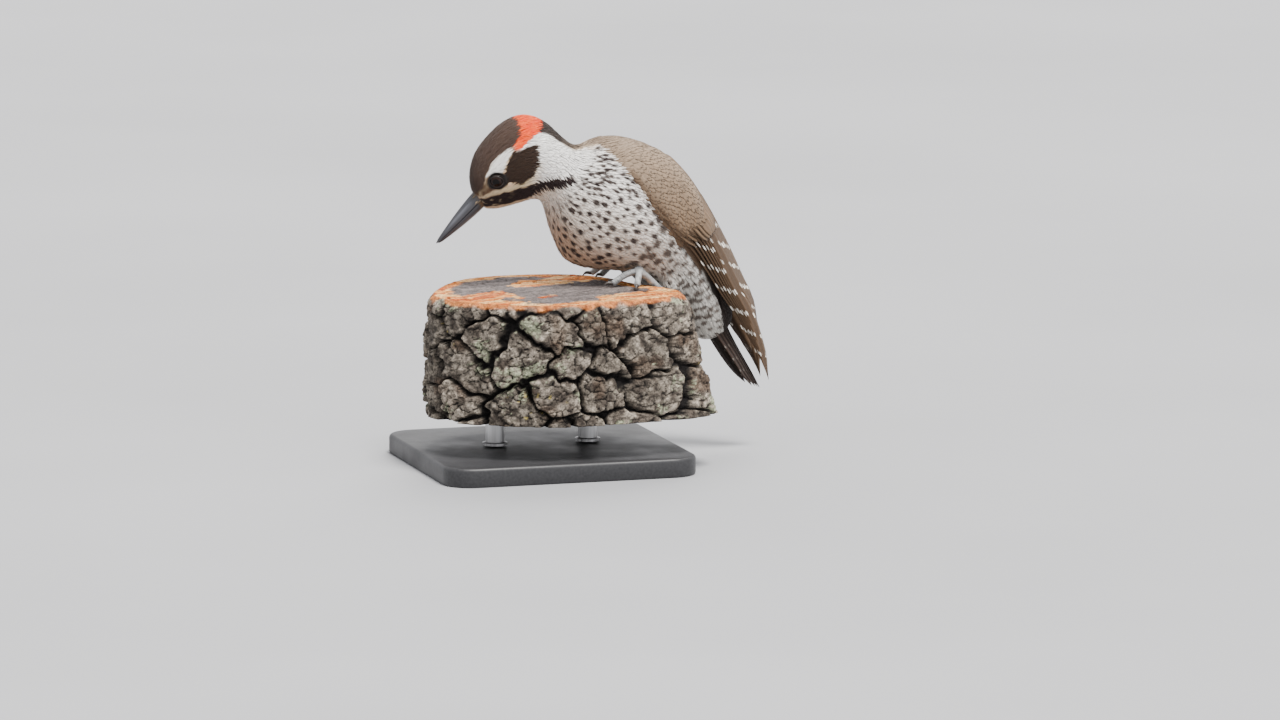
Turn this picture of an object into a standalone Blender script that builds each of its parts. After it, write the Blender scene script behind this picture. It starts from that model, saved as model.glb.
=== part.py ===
"""A male Arizona woodpecker leaning over the rim of a cut log, on a plain display stand.

Frame: metres, +Z up, the bird faces -Y and its left side is +X. The origin is the centre of the
stand's underside. The bird is laid out in millimetres about a point on the log's sawn top,
midway between its feet, and one function carries those millimetres into the frame.
"""

import math
from collections import namedtuple

import bpy
import numpy as np

# ---------------------------------------------------------------- driving dimensions, in millimetres
GAP = 0.3  # left between pieces that touch
BASE_SIZE = (104.0, 108.0)
BASE_HEIGHT = 8.0
ROD_RADIUS = 4.0
ROD_HEIGHT = 14.0
ROD_SPACING = 40.0
ROD_SIDES = 20
BASE_CORNER = 12.0
CORNER_STEPS = 6
BASE_EDGES = ((0, 0.8), (0.8, 0), (BASE_HEIGHT - 1.5, 0), (BASE_HEIGHT, 1.5))  # height, how far in
PERCH_HEIGHT = 50.0
PERCH_RADIUS = 48.0
PERCH_CENTRE = (14.0, -47.0)  # from the point between the feet
BUTTRESS_TURN = math.radians(66)
BUTTRESS_WIDTH = (0.36, 0.6)  # radians either way: at the top, and of the spread below
BARK_FURROW = 3.0
UPRIGHT_FURROWS = 15
FURROW_WIDTH = (0.55, 0.4)  # of the upright and the cross furrows, as shares of their spacing's wave
FURROW_START = 7.0  # depth below the top at which the furrows are full
BILL_LENGTH = 24.5
BILL_DROOP = 3.9  # of the tip, below square to the head's front
BILL_TIP = (0.6, 0.45)  # each half's height and half width at the tip
BILL_UPPER_BASE = (3.1, 3.1)  # the upper half's height and half width at the base
BILL_LOWER_BASE = (2.9, 2.8)
BILL_OVERHANG = 0.8  # of the upper tip beyond the lower one
BILL_TAPER = 1.5  # power: the bill stays deep near its base and narrows towards its tip
EYE_RADIUS = 3.1
TAIL_HALF_WIDTH = 10.5
TAIL_ROOT_WIDTH = 0.62  # share of the full width where the tail leaves its coverts
TAIL_ARCH = (8.0, 4.0)  # how far its edges hang below its middle, at the root and at the tip
TAIL_THICKNESS = (1.6, 0.5)  # at the root and at the tip
RECTRICES = 10
OUTER_RECTRIX_STEP = 0.26  # how much shorter the outermost feather is, as a share of the longest
RECTRIX_SPREAD = 0.9  # the outermost feather's middle, as a share of the tail's half width
RECTRIX_NOTCH = 0.6  # how fast the edge climbs beside a feather's point
BODY_SEGMENTS = 26

SHARP_ANGLE = math.radians(50)
PERCH_TOP = BASE_HEIGHT + ROD_HEIGHT + PERCH_HEIGHT + 2 * GAP

# One cross-section of head, neck and trunk: its highest point on the back, its lowest on the
# belly, as (y, z) in the middle plane, its half width, and how far up the widest level lies.
Section = namedtuple("Section", "name back belly half level")
SECTIONS = [
    Section("bill_base", (-72.4, 40.2), (-67.2, 32.8), 4.3, 0.50),
    Section("forehead", (-73.4, 47.0), (-62.4, 32.7), 8.0, 0.48),
    Section("brow", (-71.2, 55.6), (-57.2, 33.7), 10.9, 0.47),
    Section("eye", (-65.8, 62.8), (-52.2, 34.9), 12.3, 0.47),
    Section("hindcrown", (-57.8, 69.4), (-47.2, 36.0), 13.0, 0.48),
    Section("nape", (-49.0, 71.4), (-43.2, 35.6), 13.3, 0.50),
    Section("hind_neck", (-40.4, 67.6), (-41.2, 32.2), 13.7, 0.50),
    Section("neck", (-33.4, 61.0), (-39.7, 28.0), 14.6, 0.48),
    Section("neck_base", (-26.8, 57.6), (-38.6, 23.2), 16.2, 0.48),
    Section("shoulder", (-16.4, 61.2), (-36.2, 16.6), 19.6, 0.50),
    Section("mantle", (-3.4, 59.6), (-32.4, 9.8), 21.6, 0.50),
    Section("breast", (8.6, 53.8), (-23.6, 6.2), 22.2, 0.47),
    Section("back", (18.0, 44.0), (-10.4, 4.7), 21.4, 0.45),
    Section("belly", (25.4, 31.2), (0.0, 2.4), 19.4, 0.45),
    Section("flank", (31.2, 18.0), (9.6, -6.6), 16.6, 0.47),
    Section("rump", (36.0, 5.4), (18.0, -17.6), 13.4, 0.50),
    Section("vent", (38.8, -6.4), (24.8, -25.4), 10.2, 0.50),
    Section("tail_coverts", (40.0, -17.4), (31.0, -26.2), 7.0, 0.50),
]
HEAD_END = 6.45  # where the head meets the neck, counted in sections
NECK_END = 9.0  # where the neck meets the trunk
EYE_STATION = 2.05
EYE_ANGLE = 7.5  # degrees above the widest level
EYE_SINK = 1.75  # from the feathers' surface in to the eyeball's centre

# The left wing's lower and upper edge, from the bend of the wing to its tip, as (x, y, z), how
# far the closed feathers stand out from the straight line between them, and their thickness.
WingStation = namedtuple("WingStation", "lower upper bulge thick")
WING = [
    WingStation((18.0, -14.6, 50.2), (11.0, -13.0, 57.4), 1.0, 1.4),
    WingStation((20.6, -9.6, 45.6), (7.4, -3.6, 58.8), 2.6, 2.6),
    WingStation((22.0, -1.6, 34.6), (4.2, 8.0, 54.4), 4.4, 3.2),
    WingStation((21.4, 7.4, 23.6), (2.6, 20.6, 41.8), 4.8, 3.3),
    WingStation((18.8, 15.8, 14.4), (1.8, 28.4, 27.2), 4.4, 3.2),
    WingStation((16.2, 23.0, 4.8), (1.4, 36.0, 13.2), 3.6, 2.8),
    WingStation((13.6, 30.8, -6.4), (1.3, 42.9, -0.9), 2.8, 2.4),
    WingStation((11.0, 38.5, -16.7), (1.8, 49.1, -13.1), 2.0, 1.9),
    WingStation((8.6, 46.8, -30.8), (3.2, 53.3, -29.2), 1.2, 1.3),
    WingStation((6.2, 53.5, -43.6), (5.2, 55.0, -44.4), 0.3, 0.7),
]

# The tail's middle line in the middle plane, from inside the coverts to the tip, as (y, z).
TAIL_LINE = [(33.2, -12.6), (39.0, -24.4), (45.4, -36.0), (52.4, -48.2)]

# One leg, for the left side, as (x, y, z, radius) of each joint; the right leg mirrors it.
THIGH = [(9.6, 14.0, 5.0, 7.4), (11.2, 11.2, 0.6, 5.5), (12.5, 9.5, -2.7, 3.9), (13.2, 8.4, -5.0, 2.5)]
TARSUS = [(13.3, 8.4, -5.4, 1.5), (14.0, 4.4, -2.0, 1.4), (14.6, -0.2, 2.4, 1.4), (15.0, -5.0, 6.3, 1.8)]
FOOT_BALL = (15.0, -5.0, 6.3)
# Each toe runs from the ball of the foot to the root of its claw; the claw then hooks down.
Toe = namedtuple("Toe", "name joints claw")
TOES = [
    Toe("hallux", [(11.8, -4.2, 3.6), (9.0, -3.4, 1.75)], (6.4, -2.6, 0.5)),
    Toe("inner", [(12.2, -9.2, 4.6), (10.2, -13.2, 1.85)], (8.4, -17.0, 0.5)),
    Toe("middle", [(15.2, -10.6, 5.0), (15.4, -15.8, 1.85)], (15.6, -20.4, 0.5)),
    Toe("outer", [(19.6, -6.6, 4.6), (23.6, -8.4, 1.85)], (27.6, -10.2, 0.5)),
]
TOE_RADIUS = 1.3
TOE_SHARES = (1.15, 1.0, 0.92, 0.62)  # of that radius: at the foot's ball, the joints and the end
TOE_TIP = 0.7  # from the claw's root to the toe's rounded end
CLAW_RADIUS = 0.9
CLAW_TIP = 0.16
CLAW_RISE = 0.6  # how far a claw arches above the line to its point
FOOT_BALL_RADIUS = 2.0
SHANK_ROOM = (13.3, 10.4, -7.1, 1.8)  # where the hollow for the shank starts, inside the thigh
EYE_POLE = math.radians(7)  # from a ball's poles to its first ring
PERCH_LOBES = ((3, 0.03, -2.4), (5, 0.02, 0.6))  # waves round the outline: count, height, phase
BUTTRESS_BULGE = 0.25  # share of the radius, at the top
BUTTRESS_FLARE = 0.22  # how fast it spreads downward
PERCH_FLARE = 0.04
RIM_INSETS = {0.0: 3.6, 1.6: 1.5, 3.6: 0.3, PERCH_HEIGHT: 1.2}  # the worn rims, by depth below the top
WING_EDGE = 0.3  # half the closed wing's thickness at its edges

MATERIALS = {
    "crown_brown": ((0.095, 0.065, 0.05), 0.8, 0.0),
    "spotted_white": ((0.72, 0.69, 0.64), 0.8, 0.0),
    "wing_brown": ((0.13, 0.095, 0.07), 0.7, 0.0),
    "tail_brown": ((0.06, 0.045, 0.038), 0.65, 0.0),
    "bill_horn": ((0.11, 0.11, 0.12), 0.4, 0.0),
    "eye": ((0.02, 0.012, 0.01), 0.08, 0.0),
    "leg_grey": ((0.33, 0.35, 0.37), 0.6, 0.0),
    "claw": ((0.08, 0.075, 0.07), 0.4, 0.0),
    "log_wood": ((0.30, 0.20, 0.14), 0.9, 0.0),
    "stand_paint": ((0.05, 0.05, 0.055), 0.45, 0.0),
    "stand_rod_metal": ((0.45, 0.45, 0.46), 0.3, 1.0),
}


# ---------------------------------------------------------------- general helpers
def clear_scene():
    for obj in list(bpy.data.objects):
        bpy.data.objects.remove(obj)


def material(name):
    if name in bpy.data.materials:
        return bpy.data.materials[name]
    colour, roughness, metallic = MATERIALS[name]
    made = bpy.data.materials.new(name)
    made.use_nodes = True
    shader = made.node_tree.nodes["Principled BSDF"]
    shader.inputs["Base Color"].default_value = (*colour, 1.0)
    shader.inputs["Roughness"].default_value = roughness
    shader.inputs["Metallic"].default_value = metallic
    return made


def to_frame(points):
    """Millimetres about the point between the feet, as metres in the part's frame."""
    shift = np.array([-PERCH_CENTRE[0], -PERCH_CENTRE[1], PERCH_TOP])
    return (np.asarray(points, float) + shift) * 0.001


def add_object(name, points, faces, finish):
    mesh = bpy.data.meshes.new(name)
    mesh.from_pydata([tuple(p) for p in to_frame(points)], [], faces)
    mesh.update()
    mesh.shade_smooth()
    mesh.set_sharp_from_angle(angle=SHARP_ANGLE)
    mesh.materials.append(material(finish))
    obj = bpy.data.objects.new(name, mesh)
    bpy.context.scene.collection.objects.link(obj)
    return obj


def as_cutter(obj):
    obj.hide_render = True
    obj.display_type = "WIRE"
    return obj


def boolean(obj, other, operation):
    modifier = obj.modifiers.new(f"{operation.lower()}_{other.name}", "BOOLEAN")
    modifier.operation = operation
    modifier.solver = "EXACT"
    modifier.object = other


def smooth_curve(knots, at):
    """Catmull-Rom through the rows of knots; at counts knots from 0."""
    knots = np.asarray(knots, float)
    padded = np.vstack([2 * knots[0] - knots[1], knots, 2 * knots[-1] - knots[-2]])
    at = np.clip(np.asarray(at, float), 0, len(knots) - 1)
    i = np.minimum(at.astype(int), len(knots) - 2)
    t = (at - i)[:, None]
    a, b, c, d = (padded[i + k] for k in range(4))
    return 0.5 * (2 * b + (c - a) * t + (2 * a - 5 * b + 4 * c - d) * t**2 + (3 * b - a - 3 * c + d) * t**3)


def circle(centre, first, second, radius, count):
    """A ring of points about a centre, in the plane of two square unit vectors."""
    turns = (math.tau * k / count for k in range(count))
    return [centre + radius * (math.cos(a) * first + math.sin(a) * second) for a in turns]


def loft(name, rings, finish):
    """A closed body through rings of equal counts, with flat ends, its faces pointing out."""
    rings = np.asarray(rings, float)
    count, around = rings.shape[:2]
    faces = []
    for i in range(count - 1):
        for j in range(around):
            k = (j + 1) % around
            faces.append((i * around + j, i * around + k, (i + 1) * around + k, (i + 1) * around + j))
    faces.append(tuple(reversed(range(around))))
    faces.append(tuple((count - 1) * around + j for j in range(around)))
    points = rings.reshape(-1, 3)
    if signed_volume(points, faces) < 0:
        faces = [tuple(reversed(face)) for face in faces]
    return add_object(name, points, faces, finish)


def signed_volume(points, faces):
    total = 0.0
    for face in faces:
        a = points[face[0]]
        for second, third in zip(face[1:], face[2:]):
            total += np.dot(a, np.cross(points[second], points[third]))
    return total / 6


def tube(name, joints, finish, sides, steps):
    """A round limb along joints of (x, y, z, radius)."""
    line = smooth_curve(joints, np.linspace(0, len(joints) - 1, steps))
    centres, radii = line[:, :3], line[:, 3]
    along = np.gradient(centres, axis=0)
    along /= np.linalg.norm(along, axis=1)[:, None]
    rings = []
    side = np.cross(along[0], (0.31, 0.22, 0.92))
    for centre, direction, radius in zip(centres, along, radii):
        side = side - direction * np.dot(side, direction)
        side /= np.linalg.norm(side)
        rings.append(circle(centre, side, np.cross(side, direction), radius, sides))
    return loft(name, rings, finish)


def mirrored(points):
    return [(-p[0], *p[1:]) for p in points]


# ---------------------------------------------------------------- head, neck and trunk
def body_columns():
    return np.array([(*s.back, *s.belly, s.half, s.level) for s in SECTIONS])


def body_ring(station, grow=0.0, shift=0.0):
    """The ring of the body at a station: grow widens it, shift moves it along the body."""
    back_y, back_z, belly_y, belly_z, half, level = smooth_curve(body_columns(), [station])[0]
    back, belly = np.array([0, back_y, back_z]), np.array([0, belly_y, belly_z])
    rise = back - belly
    height = np.linalg.norm(rise)
    rise /= height
    along = np.array([0, rise[2], -rise[1]])
    centre = belly + rise * height * level
    ring = []
    for k in range(BODY_SEGMENTS):
        turn = math.tau * k / BODY_SEGMENTS
        reach = height * (1 - level) if math.sin(turn) > 0 else height * level
        wide = (half + grow) * math.cos(turn)
        ring.append(centre + along * shift + rise * (reach + grow) * math.sin(turn) + np.array([wide, 0, 0]))
    return ring


def body_piece(name, start, end, rings, finish, grow=0.0):
    """The body between two stations, kept half a gap clear of the pieces before and after it."""
    stations = np.linspace(start, end, rings)
    shifts = np.zeros(rings)
    shifts[0] = GAP / 2 if start > 0 else 0
    shifts[-1] = -GAP / 2
    return loft(name, [body_ring(s, grow, d) for s, d in zip(stations, shifts)], finish)


def eye_centre():
    """The left eyeball's centre, sunk below the feathers' surface."""
    ring = np.array(body_ring(EYE_STATION))
    surface = ring[0] + (ring[1] - ring[0]) * EYE_ANGLE / (360 / BODY_SEGMENTS)
    inward = ring.mean(axis=0) - surface
    return surface + inward / np.linalg.norm(inward) * EYE_SINK


def ball(name, centre, radius, finish, rows=7, sides=12):
    """A ball whose poles lie along X, as rows of rings with small flat ends."""
    pole, first, second = np.eye(3)
    rings = []
    for lean in np.linspace(EYE_POLE, math.pi - EYE_POLE, rows + 1):
        middle = np.array(centre) + pole * radius * math.cos(lean)
        rings.append(circle(middle, first, second, radius * math.sin(lean), sides))
    return loft(name, rings, finish)


def add_head_and_neck():
    head = body_piece("head", 0, HEAD_END, 17, "crown_brown")
    left = eye_centre()
    for side, centre in (("left", left), ("right", left * (-1, 1, 1))):
        ball(f"eye_{side}", centre, EYE_RADIUS, "eye")
        socket = as_cutter(ball(f"socket_{side}", centre, EYE_RADIUS + GAP, "eye"))
        boolean(head, socket, "DIFFERENCE")
    body_piece("neck", HEAD_END, NECK_END, 8, "spotted_white")


def add_trunk(cutters):
    trunk = body_piece("trunk", NECK_END, len(SECTIONS) - 1, 18, "spotted_white")
    for cutter in cutters:
        boolean(trunk, cutter, "DIFFERENCE")


# ---------------------------------------------------------------- bill
def bill_half(name, upward, base_size, length):
    """One mandible: flat where the two meet, arched on its outer side, narrowing to a chisel tip."""
    back, belly = np.array([0, *SECTIONS[0].back]), np.array([0, *SECTIONS[0].belly])
    base = (back + belly) / 2
    rise = (back - belly) / np.linalg.norm(back - belly)
    forward = np.array([0, -rise[2], rise[1]])
    steps, arc = 9, 9
    rings = []
    for i in range(steps):
        share = i / (steps - 1)
        taper = 1 - share**BILL_TAPER
        high = base_size[0] * taper + BILL_TIP[0]
        half = base_size[1] * taper + BILL_TIP[1]
        middle = base + forward * (GAP + length * share) + rise * (upward * GAP / 2 - BILL_DROOP * share)
        ring = []
        for k in range(arc):
            turn = math.pi * k / (arc - 1)
            ridge = math.sin(turn) ** 0.9
            ring.append(middle + np.array([half * math.cos(turn), 0, 0]) + rise * upward * high * ridge)
        rings.append(ring)
    return loft(name, rings, "bill_horn")


def add_bill():
    bill_half("bill_upper", 1, BILL_UPPER_BASE, BILL_LENGTH)
    bill_half("bill_lower", -1, BILL_LOWER_BASE, BILL_LENGTH - BILL_OVERHANG)


# ---------------------------------------------------------------- wings
def wing_rings(grow=0.0):
    """Rings of the left wing: an outer curve from lower to upper edge and an inner one back."""
    knots = np.array([(*w.lower, *w.upper, w.bulge, w.thick) for w in WING])
    steps, across = 17, 8
    line = smooth_curve(knots, np.linspace(0, len(WING) - 1, steps))
    lower, upper = line[:, :3], line[:, 3:6]
    along = np.gradient((lower + upper) / 2, axis=0)
    rings = []
    for i in range(steps):
        chord = upper[i] - lower[i]
        outward = np.cross(along[i], chord)
        outward *= np.sign(outward[0]) / np.linalg.norm(outward)
        edge = chord / np.linalg.norm(chord) * grow
        low, high = lower[i] - edge, upper[i] + edge
        end_shift = along[i] / np.linalg.norm(along[i]) * grow * (-(i == 0) + (i == steps - 1))
        bulge, thick = line[i, 6], line[i, 7]
        outer, inner = [], []
        for c in np.linspace(0, 1, across):
            arch = 4 * c * (1 - c)
            middle = low + (high - low) * c + outward * bulge * arch + end_shift
            half = WING_EDGE + (thick / 2 - WING_EDGE) * math.sqrt(arch) + grow
            outer.append(middle + outward * half)
            inner.append(middle - outward * half)
        rings.append(outer + inner[::-1])
    return np.array(rings)


def add_wings():
    """Both wings; returns the wider copies that make room for them in the trunk."""
    cutters = []
    for side, sign in (("left", 1), ("right", -1)):
        loft(f"wing_{side}", wing_rings() * (sign, 1, 1), "wing_brown")
        cutters.append(as_cutter(loft(f"wing_room_{side}", wing_rings(GAP) * (sign, 1, 1), "wing_brown")))
    return cutters


# ---------------------------------------------------------------- tail
def tail_reach(across):
    """How far down the tail its edge lies, at across from -1 to 1: a row of pointed feathers."""
    spread = np.linspace(-RECTRIX_SPREAD, RECTRIX_SPREAD, RECTRICES)
    tips = 1.0 - OUTER_RECTRIX_STEP * np.abs(spread) ** 1.5 - RECTRIX_NOTCH * np.abs(across - spread)
    return float(tips.max())


def add_tail():
    """A fan of stiff feathers: a thin plate, arched across, with a notched end."""
    columns, rows = 2 * RECTRICES + 1, 7
    knots = [(0.0, y, z) for y, z in TAIL_LINE]
    top, bottom = [], []
    for across in np.linspace(-1, 1, columns):
        reach = tail_reach(across)
        stations = np.linspace(0, (len(knots) - 1) * reach, rows)
        line = smooth_curve(knots, stations)
        along = np.gradient(line, axis=0)
        for centre, direction, station in zip(line, along, stations):
            share = station / (len(knots) - 1)
            normal = np.array([0, -direction[2], direction[1]]) / np.linalg.norm(direction)
            widening = math.sin(math.pi / 2 * min(1, 1.6 * share))
            half = TAIL_HALF_WIDTH * (TAIL_ROOT_WIDTH + (1 - TAIL_ROOT_WIDTH) * widening)
            drop = TAIL_ARCH[0] + (TAIL_ARCH[1] - TAIL_ARCH[0]) * share
            extra = (TAIL_THICKNESS[0] - TAIL_THICKNESS[1]) * (1 - share) * (1 - 0.5 * across**2)
            thick = TAIL_THICKNESS[1] + extra
            place = centre + np.array([half * across, 0, 0]) - normal * drop * across**2
            top.append(place + normal * thick / 2)
            bottom.append(place - normal * thick / 2)
    points = np.array(top + bottom)
    half_count = columns * rows
    faces = []
    for c in range(columns - 1):
        for r in range(rows - 1):
            a, b = c * rows + r, (c + 1) * rows + r
            faces.append((a, b, b + 1, a + 1))
            faces.append((a + 1 + half_count, b + 1 + half_count, b + half_count, a + half_count))
    rim = [c * rows for c in range(columns)]
    rim += [(columns - 1) * rows + r for r in range(1, rows)]
    rim += [c * rows + rows - 1 for c in reversed(range(columns - 1))]
    rim += [r for r in reversed(range(1, rows - 1))]
    for a, b in zip(rim, rim[1:] + rim[:1]):
        faces.append((a, a + half_count, b + half_count, b))
    if signed_volume(points, faces) < 0:
        faces = [tuple(reversed(face)) for face in faces]
    tail = add_object("tail", points, faces, "tail_brown")
    boolean(tail, bpy.data.objects["trunk_room"], "DIFFERENCE")


# ---------------------------------------------------------------- legs
def add_foot(side, flip):
    foot = ball(f"foot_{side}", flip([FOOT_BALL])[0], FOOT_BALL_RADIUS, "leg_grey", 6, 10)
    boolean(foot, as_cutter(tube(f"shank_{side}", flip(TARSUS), "leg_grey", 10, 7)), "UNION")
    for toe in TOES:
        root, heading = toe_end(toe)
        places = [FOOT_BALL, *toe.joints, root + heading * TOE_TIP]
        joints = [(*place, TOE_RADIUS * share) for place, share in zip(places, TOE_SHARES)]
        piece = as_cutter(tube(f"toe_{toe.name}_{side}", flip(joints), "leg_grey", 8, 6))
        boolean(foot, piece, "UNION")
        add_claw(f"claw_{toe.name}_{side}", toe, flip)


def toe_end(toe):
    """Where a toe's claw is rooted, and the unit direction in which the toe ends."""
    root, before = np.array(toe.joints[-1]), np.array(toe.joints[0])
    return root, (root - before) / np.linalg.norm(root - before)


def add_claw(name, toe, flip):
    """A curved claw that starts a gap past its toe and arches over to its point."""
    root, heading = toe_end(toe)
    tip, level = np.array(toe.claw), heading * (1, 1, 0)
    start = root + heading * (TOE_TIP + GAP + 0.25)
    crest = (start + tip) / 2 + level * 0.4 + np.array([0, 0, CLAW_RISE])
    joints = [(*start, CLAW_RADIUS), (*crest, CLAW_RADIUS * 0.72), (*tip, CLAW_TIP)]
    tube(name, flip(joints), "claw", 6, 6)


def add_legs():
    for side, flip in (("left", lambda p: p), ("right", mirrored)):
        thigh = tube(f"leg_{side}", flip(THIGH), "spotted_white", 14, 9)
        boolean(thigh, bpy.data.objects["trunk_room"], "DIFFERENCE")
        around = [(*joint[:3], joint[3] + GAP) for joint in TARSUS]
        around.insert(0, SHANK_ROOM)
        boolean(thigh, as_cutter(tube(f"shank_room_{side}", flip(around), "leg_grey", 10, 9)), "DIFFERENCE")
        add_foot(side, flip)


# ---------------------------------------------------------------- perch
def perch_outline(turn):
    """The log's radius at an angle from +X: a little lobed, with a buttress on the left."""
    lobes = sum(height * math.cos(count * turn + phase) for count, height, phase in PERCH_LOBES)
    return PERCH_RADIUS * (0.99 + lobes + BUTTRESS_BULGE * buttress(turn, BUTTRESS_WIDTH[0]))


def buttress(turn, width):
    """A bump that is 1 in the buttress's direction and dies away to either side."""
    return math.exp(-(((turn - BUTTRESS_TURN) / width) ** 2))


def bark_depth(turn, drop):
    """Furrows between the bark's plates: upright ones that wander, and short cross ones."""
    upright = abs(math.sin(UPRIGHT_FURROWS / 2 * turn + 0.4 * math.sin(0.13 * drop + 2 * turn)))
    cross = abs(math.sin(0.19 * drop + 1.7 * math.sin(5 * turn) + turn))
    deep, shallow = max(0.0, 1 - upright / FURROW_WIDTH[0]), max(0.0, 1 - cross / FURROW_WIDTH[1])
    return BARK_FURROW * (deep + 0.6 * shallow)


def add_perch():
    """A short length of a tree's trunk: barked sides, flaring downward, and a sawn top with a worn rim."""
    sides = 60
    drops = [0.0, 1.6, 3.6, 7, 11, 15.5, 20, 24.5, 29, 33.5, 38, 42.5, 47, PERCH_HEIGHT]
    rings = []
    for drop in drops:
        ring = []
        for k in range(sides):
            turn = math.tau * k / sides
            flare = (PERCH_FLARE + BUTTRESS_FLARE * buttress(turn, BUTTRESS_WIDTH[1])) * max(0.0, drop - 3)
            rough = bark_depth(turn, drop) * min(1.0, drop / FURROW_START)
            reach = perch_outline(turn) + flare - RIM_INSETS.get(drop, 0.0) - rough
            centre = np.array([*PERCH_CENTRE, -drop])
            ring.append(centre + reach * np.array([math.cos(turn), math.sin(turn), 0]))
        rings.append(ring)
    loft("perch", rings, "log_wood")


# ---------------------------------------------------------------- stand
def add_stand():
    """A flat base with softened edges and two short rods up to the perch."""
    floor = -PERCH_TOP
    rings = []
    for height, inset in BASE_EDGES:
        rings.append(rounded_rectangle(BASE_SIZE, BASE_CORNER, inset, floor + height))
    loft("stand_base", rings, "stand_paint")
    foot = floor + BASE_HEIGHT + GAP
    for name, offset in (("front", -ROD_SPACING / 2), ("back", ROD_SPACING / 2)):
        rings = []
        for height in (0, ROD_HEIGHT):
            centre = np.array([PERCH_CENTRE[0], PERCH_CENTRE[1] + offset, foot + height])
            rings.append(circle(centre, *np.eye(3)[:2], ROD_RADIUS, ROD_SIDES))
        loft(f"stand_rod_{name}", rings, "stand_rod_metal")


def rounded_rectangle(size, corner, inset, height):
    """A ring about the perch's axis: a rectangle with quarter-round corners."""
    ring = []
    for quarter in range(4):
        sign_x, sign_y = ((1, 1), (-1, 1), (-1, -1), (1, -1))[quarter]
        centre_x = PERCH_CENTRE[0] + sign_x * (size[0] / 2 - corner)
        centre_y = PERCH_CENTRE[1] + sign_y * (size[1] / 2 - corner)
        for k in range(CORNER_STEPS):
            turn = math.pi / 2 * (quarter + k / (CORNER_STEPS - 1))
            reach = corner - inset
            ring.append((centre_x + reach * math.cos(turn), centre_y + reach * math.sin(turn), height))
    return ring


def main():
    clear_scene()
    as_cutter(body_piece("trunk_room", NECK_END, len(SECTIONS) - 1, 18, "spotted_white", GAP))
    add_head_and_neck()
    add_bill()
    add_trunk(add_wings())
    add_tail()
    add_legs()
    add_perch()
    add_stand()


main()
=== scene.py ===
"""The looks of a male Arizona woodpecker that leans over the rim of a cut log, on a display stand.

Lengths are millimetres about the point between the feet: x to the bird's left, y towards its tail,
z up from the log's top. add_piece() carries them into the frame's metres. The coat is made of
tufts and vanes: thin closed leaves that are rooted in the skin and lie along the body.
"""
import itertools
import math
from collections import namedtuple

import bpy
import numpy as np
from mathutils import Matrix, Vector
from mathutils.bvhtree import BVHTree
from mathutils.kdtree import KDTree


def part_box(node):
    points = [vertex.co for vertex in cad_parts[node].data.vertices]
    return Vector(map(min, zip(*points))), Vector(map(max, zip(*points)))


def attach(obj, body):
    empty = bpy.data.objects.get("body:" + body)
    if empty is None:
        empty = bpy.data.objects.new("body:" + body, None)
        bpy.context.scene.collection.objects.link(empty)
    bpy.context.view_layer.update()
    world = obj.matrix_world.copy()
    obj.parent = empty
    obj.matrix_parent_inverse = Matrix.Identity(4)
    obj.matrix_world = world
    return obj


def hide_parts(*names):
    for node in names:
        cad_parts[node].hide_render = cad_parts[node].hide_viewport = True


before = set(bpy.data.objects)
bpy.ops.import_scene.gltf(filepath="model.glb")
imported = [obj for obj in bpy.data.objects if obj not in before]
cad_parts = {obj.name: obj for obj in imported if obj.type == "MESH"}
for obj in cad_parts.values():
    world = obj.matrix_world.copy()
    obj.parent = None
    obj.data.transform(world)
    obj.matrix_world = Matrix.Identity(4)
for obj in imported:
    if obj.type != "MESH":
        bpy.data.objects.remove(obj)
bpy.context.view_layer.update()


def node_box(name):
    """A CAD node's lowest and highest corners, in the frame's millimetres."""
    low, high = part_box(name)
    return np.array(low) * 1000, np.array(high) * 1000


EYES = [(node_box(name)[0] + node_box(name)[1]) / 2 for name in ("eye_left", "eye_right")]
FEET_BEHIND_EYES = 64.4
ORIGIN = np.array([(EYES[0] + EYES[1])[0] / 2, EYES[0][1] + FEET_BEHIND_EYES, node_box("perch")[1][2]])
EYE = EYES[0] - ORIGIN
EYE_RADIUS = (node_box("eye_left")[1] - node_box("eye_left")[0])[0] / 2
LOG_CENTRE = (node_box("stand_base")[0] + node_box("stand_base")[1])[:2] / 2 - ORIGIN[:2]
FLOOR = -ORIGIN[2]
SIDES = (("left", 1), ("right", -1))

# ---------------------------------------------------------------- the bird's lines and markings
# The middle line of head, neck, body and tail, as (y, z) in the middle plane.
AXIS = [
    (-70.0, 36.5), (-64.2, 44.6), (-57.0, 50.5), (-49.0, 53.5), (-41.0, 50.0), (-34.5, 42.5),
    (-26.3, 38.9), (-17.9, 34.7), (-7.5, 30.0), (3.8, 24.3), (12.7, 16.8), (20.4, 5.7),
    (27.0, -6.1), (31.8, -15.9), (39.0, -28.0), (52.0, -48.0),
]
BILL_BASE = np.array([0.0, -69.8, 36.5])

# The left wing's lower and upper edges from its bend to its tip, as (x, y, z), how far the closed
# feathers stand out from the line between them, and their thickness, as in the CAD.
WING = [
    (18.0, -14.6, 50.2, 11.0, -13.0, 57.4, 1.0, 1.4),
    (20.6, -9.6, 45.6, 7.4, -3.6, 58.8, 2.6, 2.6),
    (22.0, -1.6, 34.6, 4.2, 8.0, 54.4, 4.4, 3.2),
    (21.4, 7.4, 23.6, 2.6, 20.6, 41.8, 4.8, 3.3),
    (18.8, 15.8, 14.4, 1.8, 28.4, 27.2, 4.4, 3.2),
    (16.2, 23.0, 4.8, 1.4, 36.0, 13.2, 3.6, 2.8),
    (13.6, 30.8, -6.4, 1.3, 42.9, -0.9, 2.8, 2.4),
    (11.0, 38.5, -16.7, 1.8, 49.1, -13.1, 2.0, 1.9),
    (8.6, 46.8, -30.8, 3.2, 53.3, -29.2, 1.2, 1.3),
    (6.2, 53.5, -43.6, 5.2, 55.0, -44.4, 0.3, 0.7),
]
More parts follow.
